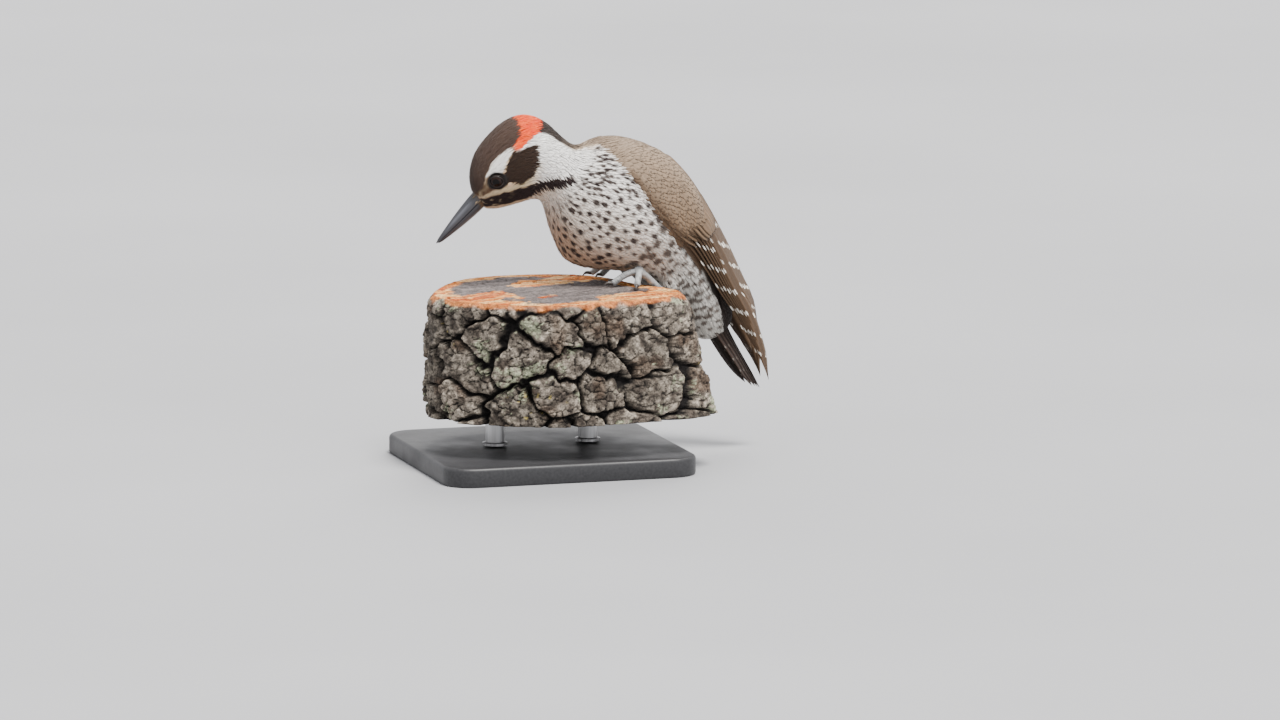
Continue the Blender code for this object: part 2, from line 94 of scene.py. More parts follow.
WING_EDGE = 0.3  # half the closed wing's thickness at its edges
TAIL_LINE = [(33.2, -12.6), (39.0, -24.4), (45.4, -36.0), (52.4, -48.2)]
TAIL_HALF_WIDTH = 10.5

# Outlines of the head's patches as seen from the side, as (y, z).
CROWN_PATCH = [
    (-80.0, 39.0), (-71.6, 40.0), (-69.6, 43.4), (-69.4, 47.2), (-66.8, 53.0), (-63.4, 56.4),
    (-59.2, 59.0), (-57.3, 59.6), (-55.3, 63.6), (-54.4, 68.3), (-56.5, 76.0), (-80.0, 76.0),
]
RED_PATCH = [
    (-56.5, 76.0), (-54.4, 68.3), (-55.4, 63.6), (-57.3, 60.2), (-56.8, 57.8), (-55.0, 58.8),
    (-51.4, 62.3), (-46.4, 65.2), (-43.6, 69.5), (-43.0, 76.0),
]
EYE_STRIPE = [
    (-69.4, 46.8), (-66.8, 53.0), (-63.4, 56.4), (-59.2, 59.2), (-58.2, 58.2), (-60.0, 55.2),
    (-61.8, 51.6), (-63.2, 48.4),
]
EAR_PATCH = [
    (-57.3, 59.6), (-56.8, 57.4), (-52.7, 59.4), (-48.3, 60.8), (-47.4, 53.4), (-49.8, 46.8),
    (-54.6, 43.6), (-59.4, 44.8), (-62.4, 46.6), (-61.4, 51.0), (-59.6, 55.4),
]
LORE_PATCH = [
    (-74.0, 39.6), (-69.8, 43.4), (-69.0, 46.6), (-66.0, 44.4), (-62.8, 46.6), (-60.6, 44.8),
    (-61.2, 42.6), (-66.0, 41.4), (-70.4, 38.4),
]
CHEEK_STRIPE = [
    (-70.2, 38.0), (-66.0, 41.0), (-60.5, 42.9), (-54.7, 44.6), (-49.6, 47.6), (-47.2, 53.4),
    (-44.0, 53.0), (-44.0, 45.4), (-48.6, 43.8), (-54.5, 42.0), (-62.0, 40.5),
]
NECK_PATCH = [
    (-48.2, 60.5), (-56.8, 57.2), (-56.2, 58.2), (-51.4, 62.2), (-46.4, 65.0), (-42.0, 63.9),
    (-36.2, 60.4), (-32.1, 57.5), (-27.9, 56.5), (-23.5, 58.0), (-25.0, 53.0), (-29.0, 50.0),
    (-33.2, 47.4), (-38.6, 46.0), (-44.5, 45.4), (-47.8, 48.0),
]
WHISKER_PATCH = [
    (-72.0, 36.8), (-69.3, 37.9), (-62.0, 40.6), (-54.5, 42.1), (-48.6, 44.0), (-44.5, 45.6),
    (-38.6, 46.2), (-33.2, 47.4), (-33.0, 44.6), (-38.0, 43.0), (-43.9, 41.2), (-47.3, 38.5),
    (-53.0, 36.5), (-60.6, 34.9), (-70.0, 33.4),
]
BACK_PATCH = [
    (-44.6, 66.2), (-42.0, 63.9), (-36.2, 60.3), (-32.1, 57.6), (-27.9, 56.9), (-23.0, 58.6),
    (-20.1, 57.6), (-18.3, 55.8), (-14.6, 50.6), (-9.6, 45.4), (-1.6, 34.4), (7.4, 23.4),
    (15.8, 14.2), (23.0, 4.6), (25.6, -1.0), (31.0, -10.0), (34.0, -24.0), (60.0, -24.0),
    (60.0, 80.0), (-43.6, 80.0),
]


def srgb(red, green, blue):
    """A screen colour, 0 to 255, as a linear one."""
    shares = np.array([red, green, blue]) / 255
    return np.where(shares <= 0.04045, shares / 12.92, ((shares + 0.055) / 1.055) ** 2.4)


CROWN = srgb(72, 56, 48)
RED, PALE_RED = srgb(232, 50, 10), srgb(250, 100, 36)
WHITE = srgb(246, 244, 240)
BREAST = srgb(216, 207, 196)
# Painted shade and warm light bounced up from the log, laid on the breast's underside.
UNDER_SHADE_AND_BOUNCE = srgb(196, 166, 142)
BELLY = srgb(206, 202, 194)
THROAT = srgb(220, 192, 160)
CHEEK = srgb(206, 186, 152)
LORE = srgb(88, 65, 48)
EAR = srgb(46, 32, 23)
WHISKER = srgb(38, 27, 27)
NAPE = srgb(50, 40, 35)
MANTLE = srgb(142, 123, 104)
COVERT = srgb(124, 101, 79)
QUILL = srgb(82, 63, 46)
TAIL = srgb(54, 42, 36)
# The rump's dark brown, made nearly black as painted shade where the wing shades it.
RUMP_AND_WING_SHADE = srgb(44, 36, 32)
SPOT = srgb(48, 38, 36)
BAR = srgb(112, 102, 94)
# The dark feathers round the eye, painted darker still for the shade in the eye's socket; and the bare lid.
EYE_RING_AND_SHADE, LID = srgb(25, 18, 16), srgb(34, 26, 23)
QUILL_SPOT = srgb(240, 234, 222)
# The bill's dark horn, a paler grey painted along its sides as a highlight, and a warm brown for its root
# and for a painted reflection of warm light under the lower mandible.
BILL_DARK, BILL_HIGHLIGHT, BILL_WARM_AND_REFLECTION = srgb(52, 52, 57), srgb(106, 108, 116), srgb(96, 78, 64)
FOOT_DARK, FOOT_PALE = srgb(108, 110, 112), srgb(186, 188, 188)


# ---------------------------------------------------------------- number helpers
def smooth_curve(knots, at):
    """Catmull-Rom through the rows of knots; at counts knots from 0."""
    knots = np.asarray(knots, float)
    padded = np.vstack([2 * knots[0] - knots[1], knots, 2 * knots[-1] - knots[-2]])
    at = np.clip(np.asarray(at, float), 0, len(knots) - 1)
    i = np.minimum(at.astype(int), len(knots) - 2)
    t = (at - i)[..., None]
    a, b, c, d = (padded[i + k] for k in range(4))
    return 0.5 * (2 * b + (c - a) * t + (2 * a - 5 * b + 4 * c - d) * t**2 + (3 * b - a - 3 * c + d) * t**3)


def unit(vectors):
    return vectors / np.maximum(np.linalg.norm(vectors, axis=-1, keepdims=True), 1e-9)


def smoothstep(low, high, value):
    t = np.clip((value - low) / (high - low), 0, 1)
    return t * t * (3 - 2 * t)


def mix(first, second, share):
    """From the first colour or direction to the second, by a share for each row."""
    return first + (second - first) * np.asarray(share)[..., None]


def xyz(x, y, z):
    """Points or directions from their three parts, where a part may be one number for all."""
    return np.stack(np.broadcast_arrays(x, y, z), axis=-1)


def circle(count):
    """Angles spread evenly round a full turn."""
    return np.linspace(0, math.tau, count, endpoint=False)


def fold(points):
    """The points, with those of the bird's right side carried over to its left."""
    return xyz(np.abs(points[:, 0]), points[:, 1], points[:, 2])


def tree_of(places):
    """A search tree that knows each place by its number."""
    tree = KDTree(len(places))
    for index, place in enumerate(places):
        tree.insert(place, index)
    tree.balance()
    return tree


def lattice(cells, seed):
    """A number from -1 to 1 for each whole-numbered cell."""
    n = cells[..., 0] * 73856093 ^ cells[..., 1] * 19349663 ^ cells[..., 2] * 83492791 ^ seed * 2654435
    n = (n ^ (n >> 13)) * 1274126177 & 0x7FFFFFFF
    n = (n ^ (n >> 15)) * 668265263 & 0x7FFFFFFF
    return (n % 65521) / 32760.0 - 1


def noise(points, size, seed):
    """Smooth noise from -1 to 1 whose lumps are about size across."""
    scaled = points / size
    cells = np.floor(scaled).astype(np.int64)
    part = scaled - cells
    part = part * part * (3 - 2 * part)
    total = 0
    for corner in itertools.product((0, 1), repeat=3):
        weight = np.prod(np.where(corner, part, 1 - part), axis=-1)
        total = total + weight * lattice(cells + corner, seed)
    return total


def inside(points, outline):
    """How far inside an outline seen from the side a point lies; negative outside."""
    y, z = points[:, 1], points[:, 2]
    corners = np.array(outline)
    nearest = np.full(len(points), np.inf)
    within = np.zeros(len(points), bool)
    for (ay, az), (by, bz) in zip(corners, np.roll(corners, -1, axis=0)):
        dy, dz = by - ay, bz - az
        along = np.clip(((y - ay) * dy + (z - az) * dz) / (dy**2 + dz**2), 0, 1)
        nearest = np.minimum(nearest, np.hypot(y - ay - along * dy, z - az - along * dz))
        if dz:
            within ^= ((az > z) != (bz > z)) & (y < dy * (z - az) / dz + ay)
    return np.where(within, nearest, -nearest)


# ---------------------------------------------------------------- the body's own coordinates
AXIS_POINTS = np.insert(smooth_curve(AXIS, np.linspace(0, len(AXIS) - 1, 480)), 0, 0.0, axis=1)
AXIS_STEPS = np.linalg.norm(np.diff(AXIS_POINTS, axis=0), axis=1)
AXIS_LENGTHS = np.insert(np.cumsum(AXIS_STEPS), 0, 0.0)
AXIS_TANGENTS = unit(np.gradient(AXIS_POINTS, axis=0))
BLOCK = 20000  # points measured against the whole axis at a time


def along_body(points):
    """For each point: how far down the body it is, the body's direction there, and the angle
    round it from the middle of the back, which is pi at the middle of the belly."""
    index = np.empty(len(points), int)
    for start in range(0, len(points), BLOCK):
        away = points[start : start + BLOCK, None, 1:] - AXIS_POINTS[None, :, 1:]
        index[start : start + BLOCK] = (away**2).sum(axis=2).argmin(axis=1)
    tangents = AXIS_TANGENTS[index]
    away = points - AXIS_POINTS[index]
    upward = away[:, 2] * tangents[:, 1] - away[:, 1] * tangents[:, 2]
    return AXIS_LENGTHS[index], tangents, np.arctan2(away[:, 0], upward)


def unwrap(points):
    """The coat's bake map: down the body one way, round it the other, cut along the belly."""
    station, _, turn = along_body(points)
    return np.stack([0.02 + 0.96 * station / AXIS_LENGTHS[-1], 0.5 + 0.48 * turn / math.pi], axis=1)


def wing_place(station, across, lift=0.0):
    """A place on the left wing's outer face, at a station from its bend and across from its lower
    edge, and the directions out of the wing and along it there."""
    knots = smooth_curve(WING, station)
    ahead, behind = smooth_curve(WING, station + 0.06), smooth_curve(WING, station - 0.06)
    along = (ahead[..., :3] + ahead[..., 3:6] - behind[..., :3] - behind[..., 3:6]) / 2
    chord = knots[..., 3:6] - knots[..., :3]
    outward = np.cross(along, chord)
    outward = unit(outward * np.sign(outward[..., :1]))
    arch = 4 * across * (1 - across)
    thick = WING_EDGE + (knots[..., 7] / 2 - WING_EDGE) * np.sqrt(np.maximum(arch, 0))
    rise = (knots[..., 6] * arch + thick + lift)[..., None]
    return knots[..., :3] + chord * np.asarray(across)[..., None] + outward * rise, outward, unit(along)


WING_GRID = np.meshgrid(np.linspace(0, 8.6, 110), np.linspace(0, 1, 26))
WING_STATIONS, WING_ACROSS = (part.ravel() for part in WING_GRID)
WING_POINTS, _, WING_ALONG = wing_place(WING_STATIONS, WING_ACROSS)
WING_TREE = tree_of(WING_POINTS)
ARM_END = 4.5  # the wing's station where its flesh ends and only flight feathers go on
COVERTS_END = 3.35  # where the last of its small feathers are rooted
QUILLS_RISE = (3.0, 4.1)  # the stations between which the quills rise out of the small feathers
WING_REACH = 1.5  # a coat point this near the wing's face belongs to the wing


def wing_nearest(points):
    """For each point, folded onto the left: the nearest wing sample and how far off it is."""
    found = [WING_TREE.find(p) for p in fold(points)]
    return np.array([f[1] for f in found], int), np.array([f[2] for f in found], float)


# ---------------------------------------------------------------- markings
def body_colours(points):
    """The coat's colour at each point, without its spots, and how much of a spot shows there."""
    places = points + 0.45 * xyz(0, noise(points, 2.2, 1), noise(points, 2.2, 2))
    station, _, turn = along_body(places)
    belly = np.abs(turn)
    y, z = places[:, 1], places[:, 2]
    head = 1 - smoothstep(38, 46, station)
    # under: the breast's underside, which gets painted shade and painted warm light bounced from the log.
    under = smoothstep(2.15, 2.75, belly) * smoothstep(44, 52, station) * smoothstep(108, 84, station)
    around_eye = np.hypot((y - EYE[1]) / 1.2, z - EYE[2])
    fleck = smoothstep(0.35, 0.6, noise(points, 1.1, 7)) * smoothstep(-56, -64, y)

    def patch(outline, soft=0.35):
        return smoothstep(-soft, soft, inside(places, outline))

    layers = [
        (0.7 * smoothstep(2.2, 1.2, belly), WHITE),
        (smoothstep(-6, 8, y) * 0.8, BELLY),
        (under, UNDER_SHADE_AND_BOUNCE),
        (head, THROAT),
        (head * smoothstep(60, 62, z), NAPE),
        (patch(NECK_PATCH, 0.5), WHITE),
        (patch(CHEEK_STRIPE), mix(CHEEK, WHITE, smoothstep(-53, -44, y))),
        (patch(LORE_PATCH, 0.6), mix(LORE, CHEEK, 0.5 * smoothstep(-0.2, 0.7, noise(points, 1.8, 8)))),
        (patch(CROWN_PATCH), CROWN),
        # The back runs to the rump's dark brown, darkened further with painted shade under the wing.
        (patch(BACK_PATCH, 0.5),
         mix(mix(NAPE, MANTLE, smoothstep(-38, -20, y)), RUMP_AND_WING_SHADE, smoothstep(20, 27, y))),
        (patch(RED_PATCH), mix(RED, PALE_RED, 0.5 + 0.5 * noise(points, 1.6, 5))),
        (patch(EYE_STRIPE, 0.3), WHITE),
        (patch(EAR_PATCH, 0.3), EAR),
        # Dark feathers round the eye, partly painted shade of the eye's socket.
        (smoothstep(4.0, 3.3, around_eye), EYE_RING_AND_SHADE),
        (patch(WHISKER_PATCH), mix(WHISKER, CHEEK, 0.5 * fleck)),
    ]
    colour = BREAST
    for share, new in layers:
        colour = mix(colour, new, share)
    unspotted = (NECK_PATCH, BACK_PATCH, WHISKER_PATCH)
    plain = np.maximum.reduce([inside(places, outline) for outline in unspotted])
    return colour, smoothstep(44, 50, station) * smoothstep(0.2, -0.6, plain)


SpotStyle = namedtuple("SpotStyle", "spacing along across colour")
NECK_STREAK = SpotStyle(1.75, 1.75, 0.85, SPOT)
BREAST_SPOT = SpotStyle(3.0, 1.6, 1.25, SPOT)
FLANK_SPOT = SpotStyle(3.6, 1.85, 2.1, SPOT * 0.45 + BAR * 0.55)
BELLY_BAR = SpotStyle(3.1, 1.15, 2.5, SPOT * 0.25 + BAR * 0.75)


def spot_style(point):
    """Which marks the coat carries at a spotted place."""
    side, y, z = abs(point[0]), point[1], point[2]
    if y < -8 and z > 39.0 or y < -31 and z > 33.0:
        return NECK_STREAK
    if z > 19 and y < 2 or y < -14:
        return BREAST_SPOT
    return FLANK_SPOT if z > 9 and side > 12 else BELLY_BAR


class Spots:
    """Dark marks scattered over the spotted parts, each with its place, directions and size."""

    def __init__(self, surface, rng):
        places, normals = surface.scatter(lambda points: np.full(len(points), 1.2), rng, 9)
        keep = body_colours(places)[1] > 0.5
        places, normals = places[keep], normals[keep]
        styles = [spot_style(p) for p in places]
        order = thin_out(places, np.array([s.spacing for s in styles]))
        self.places, normals = places[order], normals[order]
        self.forward = body_flow(self.places, normals)
        self.sideways = np.cross(normals, self.forward)
        _, along, across, colours = (np.array(column) for column in zip(*(styles[i] for i in order)))
        sizes = rng.uniform(0.55, 1.25, len(order))
        self.along = along * sizes
        self.across = across * sizes * rng.uniform(0.85, 1.15, len(order))
        self.colours = mix(colours, BAR, rng.uniform(0, 0.35, len(order)))
        self.tree = tree_of(self.places)

    def paint(self, colours, points, spotted):
        """The colours with the marks laid over them."""
        marked = np.flatnonzero(spotted > 0.05)
        nearest = np.array([self.tree.find(points[i])[1] for i in marked], int)
        away = points[marked] - self.places[nearest]
        ahead = (away * self.forward[nearest]).sum(axis=1) / self.along[nearest]
        beside = (away * self.sideways[nearest]).sum(axis=1) / self.across[nearest]
        reach = np.hypot(ahead, beside * (1.1 - 0.25 * ahead)) + 0.40 * noise(points[marked], 0.9, 11)
        share = smoothstep(1.3, 0.6, reach) * spotted[marked]
        painted = colours.copy()
        painted[marked] = mix(colours[marked], self.colours[nearest], share)
        return painted


def thin_out(places, spacing):
    """Indices of places, taken in order, that keep their spacing from those taken before."""
    tree = tree_of(places)
    free = np.ones(len(places), bool)
    taken = []
    for index, place in enumerate(places):
        if free[index]:
            taken.append(index)
            for _, other, _ in tree.find_range(place, spacing[index]):
                free[other] = False
    return np.array(taken)


# ---------------------------------------------------------------- meshes and pieces
def add_piece(name, points, faces, finish, slot=None, stands_for=()):
    """A smooth-shaded mesh from millimetre points and an array of faces, riding on the model."""
    faces = np.asarray(faces, np.int32)
    mesh = bpy.data.meshes.new(name)
    mesh.vertices.add(len(points))
    mesh.vertices.foreach_set("co", ((points + ORIGIN) * 0.001).astype(np.float32).ravel())
    mesh.loops.add(faces.size)
    mesh.loops.foreach_set("vertex_index", faces.ravel())
    mesh.polygons.add(len(faces))
    mesh.polygons.foreach_set("loop_start", np.arange(0, faces.size, faces.shape[1], dtype=np.int32))
    mesh.update(calc_edges=True)
    mesh.validate()
    mesh.shade_smooth()
    mesh.materials.append(finish)
    obj = bpy.data.objects.new(name, mesh)
    bpy.context.scene.collection.objects.link(obj)
    if slot:
        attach(obj, "root")
    if stands_for:
        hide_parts(*stands_for)
    return obj


def set_attribute(obj, name, values):
    """A colour (named tint) or a vector for each vertex, which the materials read."""
    values = values.reshape(-1, 3)
    kind, field = ("FLOAT_COLOR", "color") if name == "tint" else ("FLOAT_VECTOR", "vector")
    if name == "tint":
        values = np.hstack([values, np.ones((len(values), 1))])
    attribute = obj.data.attributes.new(name, kind, "POINT")
    attribute.data.foreach_set(field, values.astype(np.float32).ravel())


def set_bake_map(obj, places):
    """The UV map OFBake, from each vertex's place on the unwrap."""
    corners = np.empty(len(obj.data.loops), np.int32)
    obj.data.loops.foreach_get("vertex_index", corners)
    layer = obj.data.uv_layers.new(name="OFBake")
    layer.data.foreach_set("uv", places.reshape(-1, 2)[corners].astype(np.float32).ravel())


def read_mesh(mesh):
    """A mesh's points and faces as arrays."""
    points = np.empty(len(mesh.vertices) * 3)
    mesh.vertices.foreach_get("co", points)
    return points.reshape(-1, 3), np.array([tuple(p.vertices) for p in mesh.polygons])


def joined(parts):
    """Several (points, faces) as one, with faces of equal counts."""
    points, faces, count = [], [], 0
    for part_points, part_faces in parts:
        points.append(part_points)
        faces.append(np.asarray(part_faces) + count)
        count += len(part_points)
    return np.vstack(points), np.vstack(faces)


def grid_faces(rows, columns):
    """Quads between closed rings of points."""
    r, c = np.meshgrid(np.arange(rows - 1), np.arange(columns), indexing="ij")
    here, beyond, after = r * columns, (r + 1) * columns, (c + 1) % columns
    return np.stack([here + c, here + after, beyond + after, beyond + c], -1).reshape(-1, 4)


def facing_out(points, faces):
    """The faces of a closed body, turned over where they faced inward."""
    a, b, c = (points[faces[:, k]] for k in range(3))
    return faces if (np.cross(a, b) * c).sum() > 0 else faces[:, ::-1]


def skinned(rings):
    """A closed body through rings of equal counts, its ends drawn in to a point."""
    rings = np.asarray(rings, float)
    first, last = (np.broadcast_to(rings[end].mean(axis=0), rings[:1].shape) for end in (0, -1))
    stack = np.concatenate([first, rings, last])
    points = stack.reshape(-1, 3)
    return points, facing_out(points, grid_faces(len(stack), stack.shape[1]))


def summed(index, values, count):
    """For each of count vertices, the sum of the rows of values that go to it."""
    return np.stack([np.bincount(index, values[:, k], count) for k in range(3)], 1)


def vertex_normals(faces, across, count):
    """The mean direction of the faces round each vertex, from every face's cross product."""
    total = np.zeros((count, 3))
    for corners in faces.T:
        total += summed(corners, across, count)
    return unit(total)


def remeshed(points, faces, voxel, rounds):
    """The closed shapes merged into one even skin, then smoothed."""
    mesh = bpy.data.meshes.new("merge")
    mesh.from_pydata([tuple(p) for p in points], [], [tuple(f) for f in faces])
    obj = bpy.data.objects.new("merge", mesh)
    bpy.context.scene.collection.objects.link(obj)
    modifier = obj.modifiers.new("remesh", "REMESH")
    modifier.mode = "VOXEL"
    modifier.voxel_size = voxel
    points, faces = read_mesh(obj.evaluated_get(bpy.context.evaluated_depsgraph_get()).to_mesh())
    bpy.data.objects.remove(obj)
    edges = np.vstack([faces[:, [k, (k + 1) % 4]] for k in range(4)])
    points, faces, edges = largest_part(points, faces, edges)
    count = np.bincount(edges.ravel(), minlength=len(points))[:, None]
    for _ in range(rounds):
        sums = summed(edges[:, 0], points[edges[:, 1]], len(points))
        sums += summed(edges[:, 1], points[edges[:, 0]], len(points))
        points = points + 0.6 * (sums / count - points)
    return points, faces


def largest_part(points, faces, edges):
    """The outer skin alone, without any closed hollow left inside it."""
    label = np.arange(len(points))
    settled = False
    while not settled:
        low = np.minimum(label[edges[:, 0]], label[edges[:, 1]])
        new = label.copy()
        np.minimum.at(new, edges[:, 0], low)
        np.minimum.at(new, edges[:, 1], low)
        new = new[new]
        settled = (new == label).all()
        label = new
    keep = label == np.bincount(label[faces[:, 0]]).argmax()
    renumber = np.cumsum(keep) - 1
    return points[keep], renumber[faces[keep[faces[:, 0]]]], renumber[edges[keep[edges[:, 0]]]]


def diagonals(corners):
    """The cross product of each quad's diagonals."""
    return np.cross(corners[:, 2] - corners[:, 0], corners[:, 3] - corners[:, 1])


class Surface:
    """The outline of the coat as one smooth closed skin, which tufts march along."""

    def __init__(self, points, faces):
        self.points, self.faces = points, faces
        self.normals = vertex_normals(faces, diagonals(points[faces]), len(points))
        self.face_normals = unit(self.normals[faces].mean(axis=1))
        self.tree = BVHTree.FromPolygons(points.tolist(), faces.tolist())

    def facing(self, place, near, far):
        """Which way the skin faces round a place on the left side."""
        away = np.linalg.norm(self.points - place, axis=1)
        ring = (away > near) & (away < far) & (self.points[:, 0] > 2)
        return unit(self.normals[ring].mean(axis=0))

    def nearest(self, points):
        """The nearest places on the skin and its normals there."""
        found = [self.tree.find_nearest(p) for p in points]
        return np.array([tuple(f[0]) for f in found]), self.face_normals[[f[2] for f in found]]

    def scatter(self, spacing, rng, tries):
        """Places over the skin that keep their spacing from each other, and the normals there."""
        corners = self.points[self.faces]
        areas = np.linalg.norm(diagonals(corners), axis=1) / 2
        weights = areas / spacing(corners.mean(axis=1)) ** 2
        count = int(weights.sum() * tries)
        picked = rng.choice(len(weights), count, p=weights / weights.sum())
        u, v = rng.random((2, count, 1))
        a, b, c, d = (corners[picked, k] for k in range(4))
        places = (a * (1 - u) + b * u) * (1 - v) + (d * (1 - u) + c * u) * v
        order = thin_out(places, spacing(places))
        return places[order], self.face_normals[picked[order]]


# ---------------------------------------------------------------- the coat's lie and sizes
def tangential(directions, normals):
    return unit(directions - normals * (directions * normals).sum(axis=1, keepdims=True))


def body_flow(points, normals):
    """The lie of the coat: away from the bill over the head, then down the body and the wings."""
    _, tangents, _ = along_body(points)
    outward = points - BILL_BASE
    near = smoothstep(20, 5, np.linalg.norm(outward, axis=1))
    lie = tangential(mix(tangents, unit(outward), near), normals)
    index, distance = wing_nearest(points)
    wing_lie = WING_ALONG[index] * xyz(np.sign(points[:, 0]), 1, 1)
    share = np.where(WING_STATIONS[index] < ARM_END + 1, smoothstep(6.5, 1.5, distance), 0)
    return tangential(mix(lie, wing_lie, share), normals)


# How the tufts change down the body: distance from the bill's base, spacing, length, half width
# and how deep the coat is.
COAT_SIZES = np.array([
    (0, 0.45, 1.5, 0.20, 0.26),
    (8, 0.48, 2.1, 0.25, 0.38),
    (22, 0.57, 3.2, 0.35, 0.58),
    (38, 0.67, 4.6, 0.47, 0.80),
    (55, 0.80, 6.0, 0.64, 1.05),
    (80, 0.89, 7.0, 0.80, 1.25),
    (115, 0.89, 7.0, 0.80, 1.25),
    (150, 0.84, 6.4, 0.70, 1.10),
])
WING_SIZES = (1.25, 6.8, 1.35, 0.8)  # spacing, length, half width, depth
THIGH_SIZES = (1.0, 3.4, 0.55, 0.7)
THIGH_CENTRE, THIGH_RADIUS = np.array([12.6, 9.4, -2.9]), 5.2  # a ball round the lower thigh
THIGH_LIE = np.array([0.2, -0.35, -0.9])
LID_RIMS = [(2.72, 0.36), (3.25, 0.26)]  # radius and thickness of the lid and of the fold round it
LID_ROOM = 3.35  # no tufts are rooted nearer the eye's axis than this
BILL_ROOM = 3.6  # nor this near the middle of the bill's base
BODY_COAT, WING_COAT, THIGH_COAT = range(3)


def coat_kinds(points):
    """Whether a coat point is on the body, a closed wing or a lower thigh."""
    index, distance = wing_nearest(points)
    on_wing = (distance < WING_REACH) & (WING_STATIONS[index] < ARM_END + 0.4)
    on_thigh = np.linalg.norm(fold(points) - THIGH_CENTRE, axis=1) < THIGH_RADIUS
    return np.select([on_wing, on_thigh], [WING_COAT, THIGH_COAT], BODY_COAT)


def coat_sizes(points, kinds):
    """Spacing, length, half width and depth of the coat at each point."""
    station, _, _ = along_body(points)
    sizes = np.stack([np.interp(station, COAT_SIZES[:, 0], COAT_SIZES[:, k]) for k in range(1, 5)], 1)
    sizes[kinds == WING_COAT] = WING_SIZES
    sizes[kinds == THIGH_COAT] = THIGH_SIZES
    return sizes


def from_eye(points):
    """How far a point is from the nearer eye's axis, and how far along it from the eye."""
    away = fold(points) - EYE
    along = (away * EYE_AXIS).sum(axis=1)
    return np.linalg.norm(away - along[:, None] * EYE_AXIS, axis=1), along


# ---------------------------------------------------------------- tufts
def leaf_template(steps):
    """The topology of one closed leaf with a toothed rim: t along, a across, under, and triangles."""
    rows = []

    def vertex(at, across, below=0):
        rows.append((at, across, below))
        return len(rows) - 1

    root, tip = vertex(0, 0), vertex(1, 0)

    def column(count, across, below=0):
        return [root, *(vertex(k / count, across, below) for k in range(1, count)), tip]

    middle, under = column(steps, 0), column(steps, 0, 1)
    triangles = []
    for side in (1, -1):
        half = column(steps, 0.5 * side)
        rim = column(2 * steps, side)
        for j in range(steps):
            valley, tooth, end = rim[2 * j : 2 * j + 3]
            made = [(middle[j], middle[j + 1], half[j + 1]), (middle[j], half[j + 1], half[j])]
            made += [(half[j], tooth, valley), (half[j], half[j + 1], tooth), (half[j + 1], end, tooth)]
            made += [(under[j], valley, tooth), (under[j], tooth, under[j + 1]), (under[j + 1], tooth, end)]
            triangles += [f[::side] for f in made if len(set(f)) == 3]
    t, a, below = np.array(rows, float).T
    return t, a, below, np.array(triangles)


# lines, normals: (leaf, step, 3); heights, widths: (leaf, step); the rest a number for each or for all.
Leaves = namedtuple("Leaves", "lines normals heights widths thick camber fringe")


def build_leaves(leaves, rng):
    """All leaves' points, triangles and each vertex's t and a."""
    count, stops = leaves.heights.shape
    t, a, under, triangles = leaf_template(stops - 1)
    thick, camber, fringe = (np.broadcast_to(v, count)[:, None] for v in leaves[4:])
    rim = np.abs(a) == 1
    tooth = rim & (np.round(t * 2 * (stops - 1)) % 2 == 1)
    at, across = np.tile(t, (count, 1)), np.tile(a, (count, 1))
    jitter = rng.uniform(0.4, 1.0, at.shape)
    late = smoothstep(0.15, 0.6, t)
    across[:, tooth] *= 1 - (fringe * jitter * late)[:, tooth]
    sweep = 0.45 / (stops - 1) * late * (0.3 + fringe * rng.uniform(0.2, 1.4, at.shape))
    at[:, rim & ~tooth] = np.minimum(at + sweep, 1)[:, rim & ~tooth]
    place = at * (stops - 1)
    low = np.minimum(place.astype(int), stops - 2)
    part = (place - low)[..., None]
    row = np.arange(count)[:, None]

    def read(values):
        values = values if values.ndim == 3 else values[..., None]
        return values[row, low] * (1 - part) + values[row, low + 1] * part

    forward = unit(np.gradient(leaves.lines, axis=1))
    normals = read(leaves.normals)
    sideways = unit(np.cross(normals, read(forward)))
    width = read(leaves.widths) * across[..., None]
    sag = camber[..., None] * np.abs(width) * np.abs(across[..., None])
    rise = read(leaves.heights) - sag - thick[..., None] * under[:, None]
    points = read(leaves.lines) + sideways * width + normals * rise
    faces = triangles[None] + (np.arange(count) * len(t))[:, None, None]
    return points, faces.reshape(-1, 3), at, across


def add_leaves(name, leaves, finish, slot, rng, stands_for=()):
    """The leaves as one piece, with their points and each vertex's t and a, a row for each leaf."""
    points, faces, at, across = build_leaves(leaves, rng)
    obj = add_piece(name, points.reshape(-1, 3), faces, finish, slot, stands_for)
    return obj, points, at, across


def leaf_shape(stops, root_end, tip_start, power):
    """The shares of its width that a leaf has down its length, opening at its root to close at its tip."""
    t = np.linspace(0, 1, stops)
    closing = 1 - np.clip((t - tip_start) / (1 - tip_start), 0, 1) ** power
    return np.maximum(np.minimum(1, (t / root_end) ** 0.7) * closing, 0.02)


def set_tuft_map(obj, roots, at, across):
    """Gives each tuft a small patch of the bake map, round its root's place."""
    patch = 0.0015 * np.stack([2 * at - 1, across], axis=-1)
    set_bake_map(obj, unwrap(roots)[:, None, :] + patch)


def set_vane_map(obj, at, across):
    """Gives each large feather its own strip of the bake map."""
    strips = len(at)
    middles = (np.arange(strips)[:, None] + 0.5) / strips
    set_bake_map(obj, np.stack([0.02 + 0.96 * at, middles + 0.4 / strips * across], axis=-1))


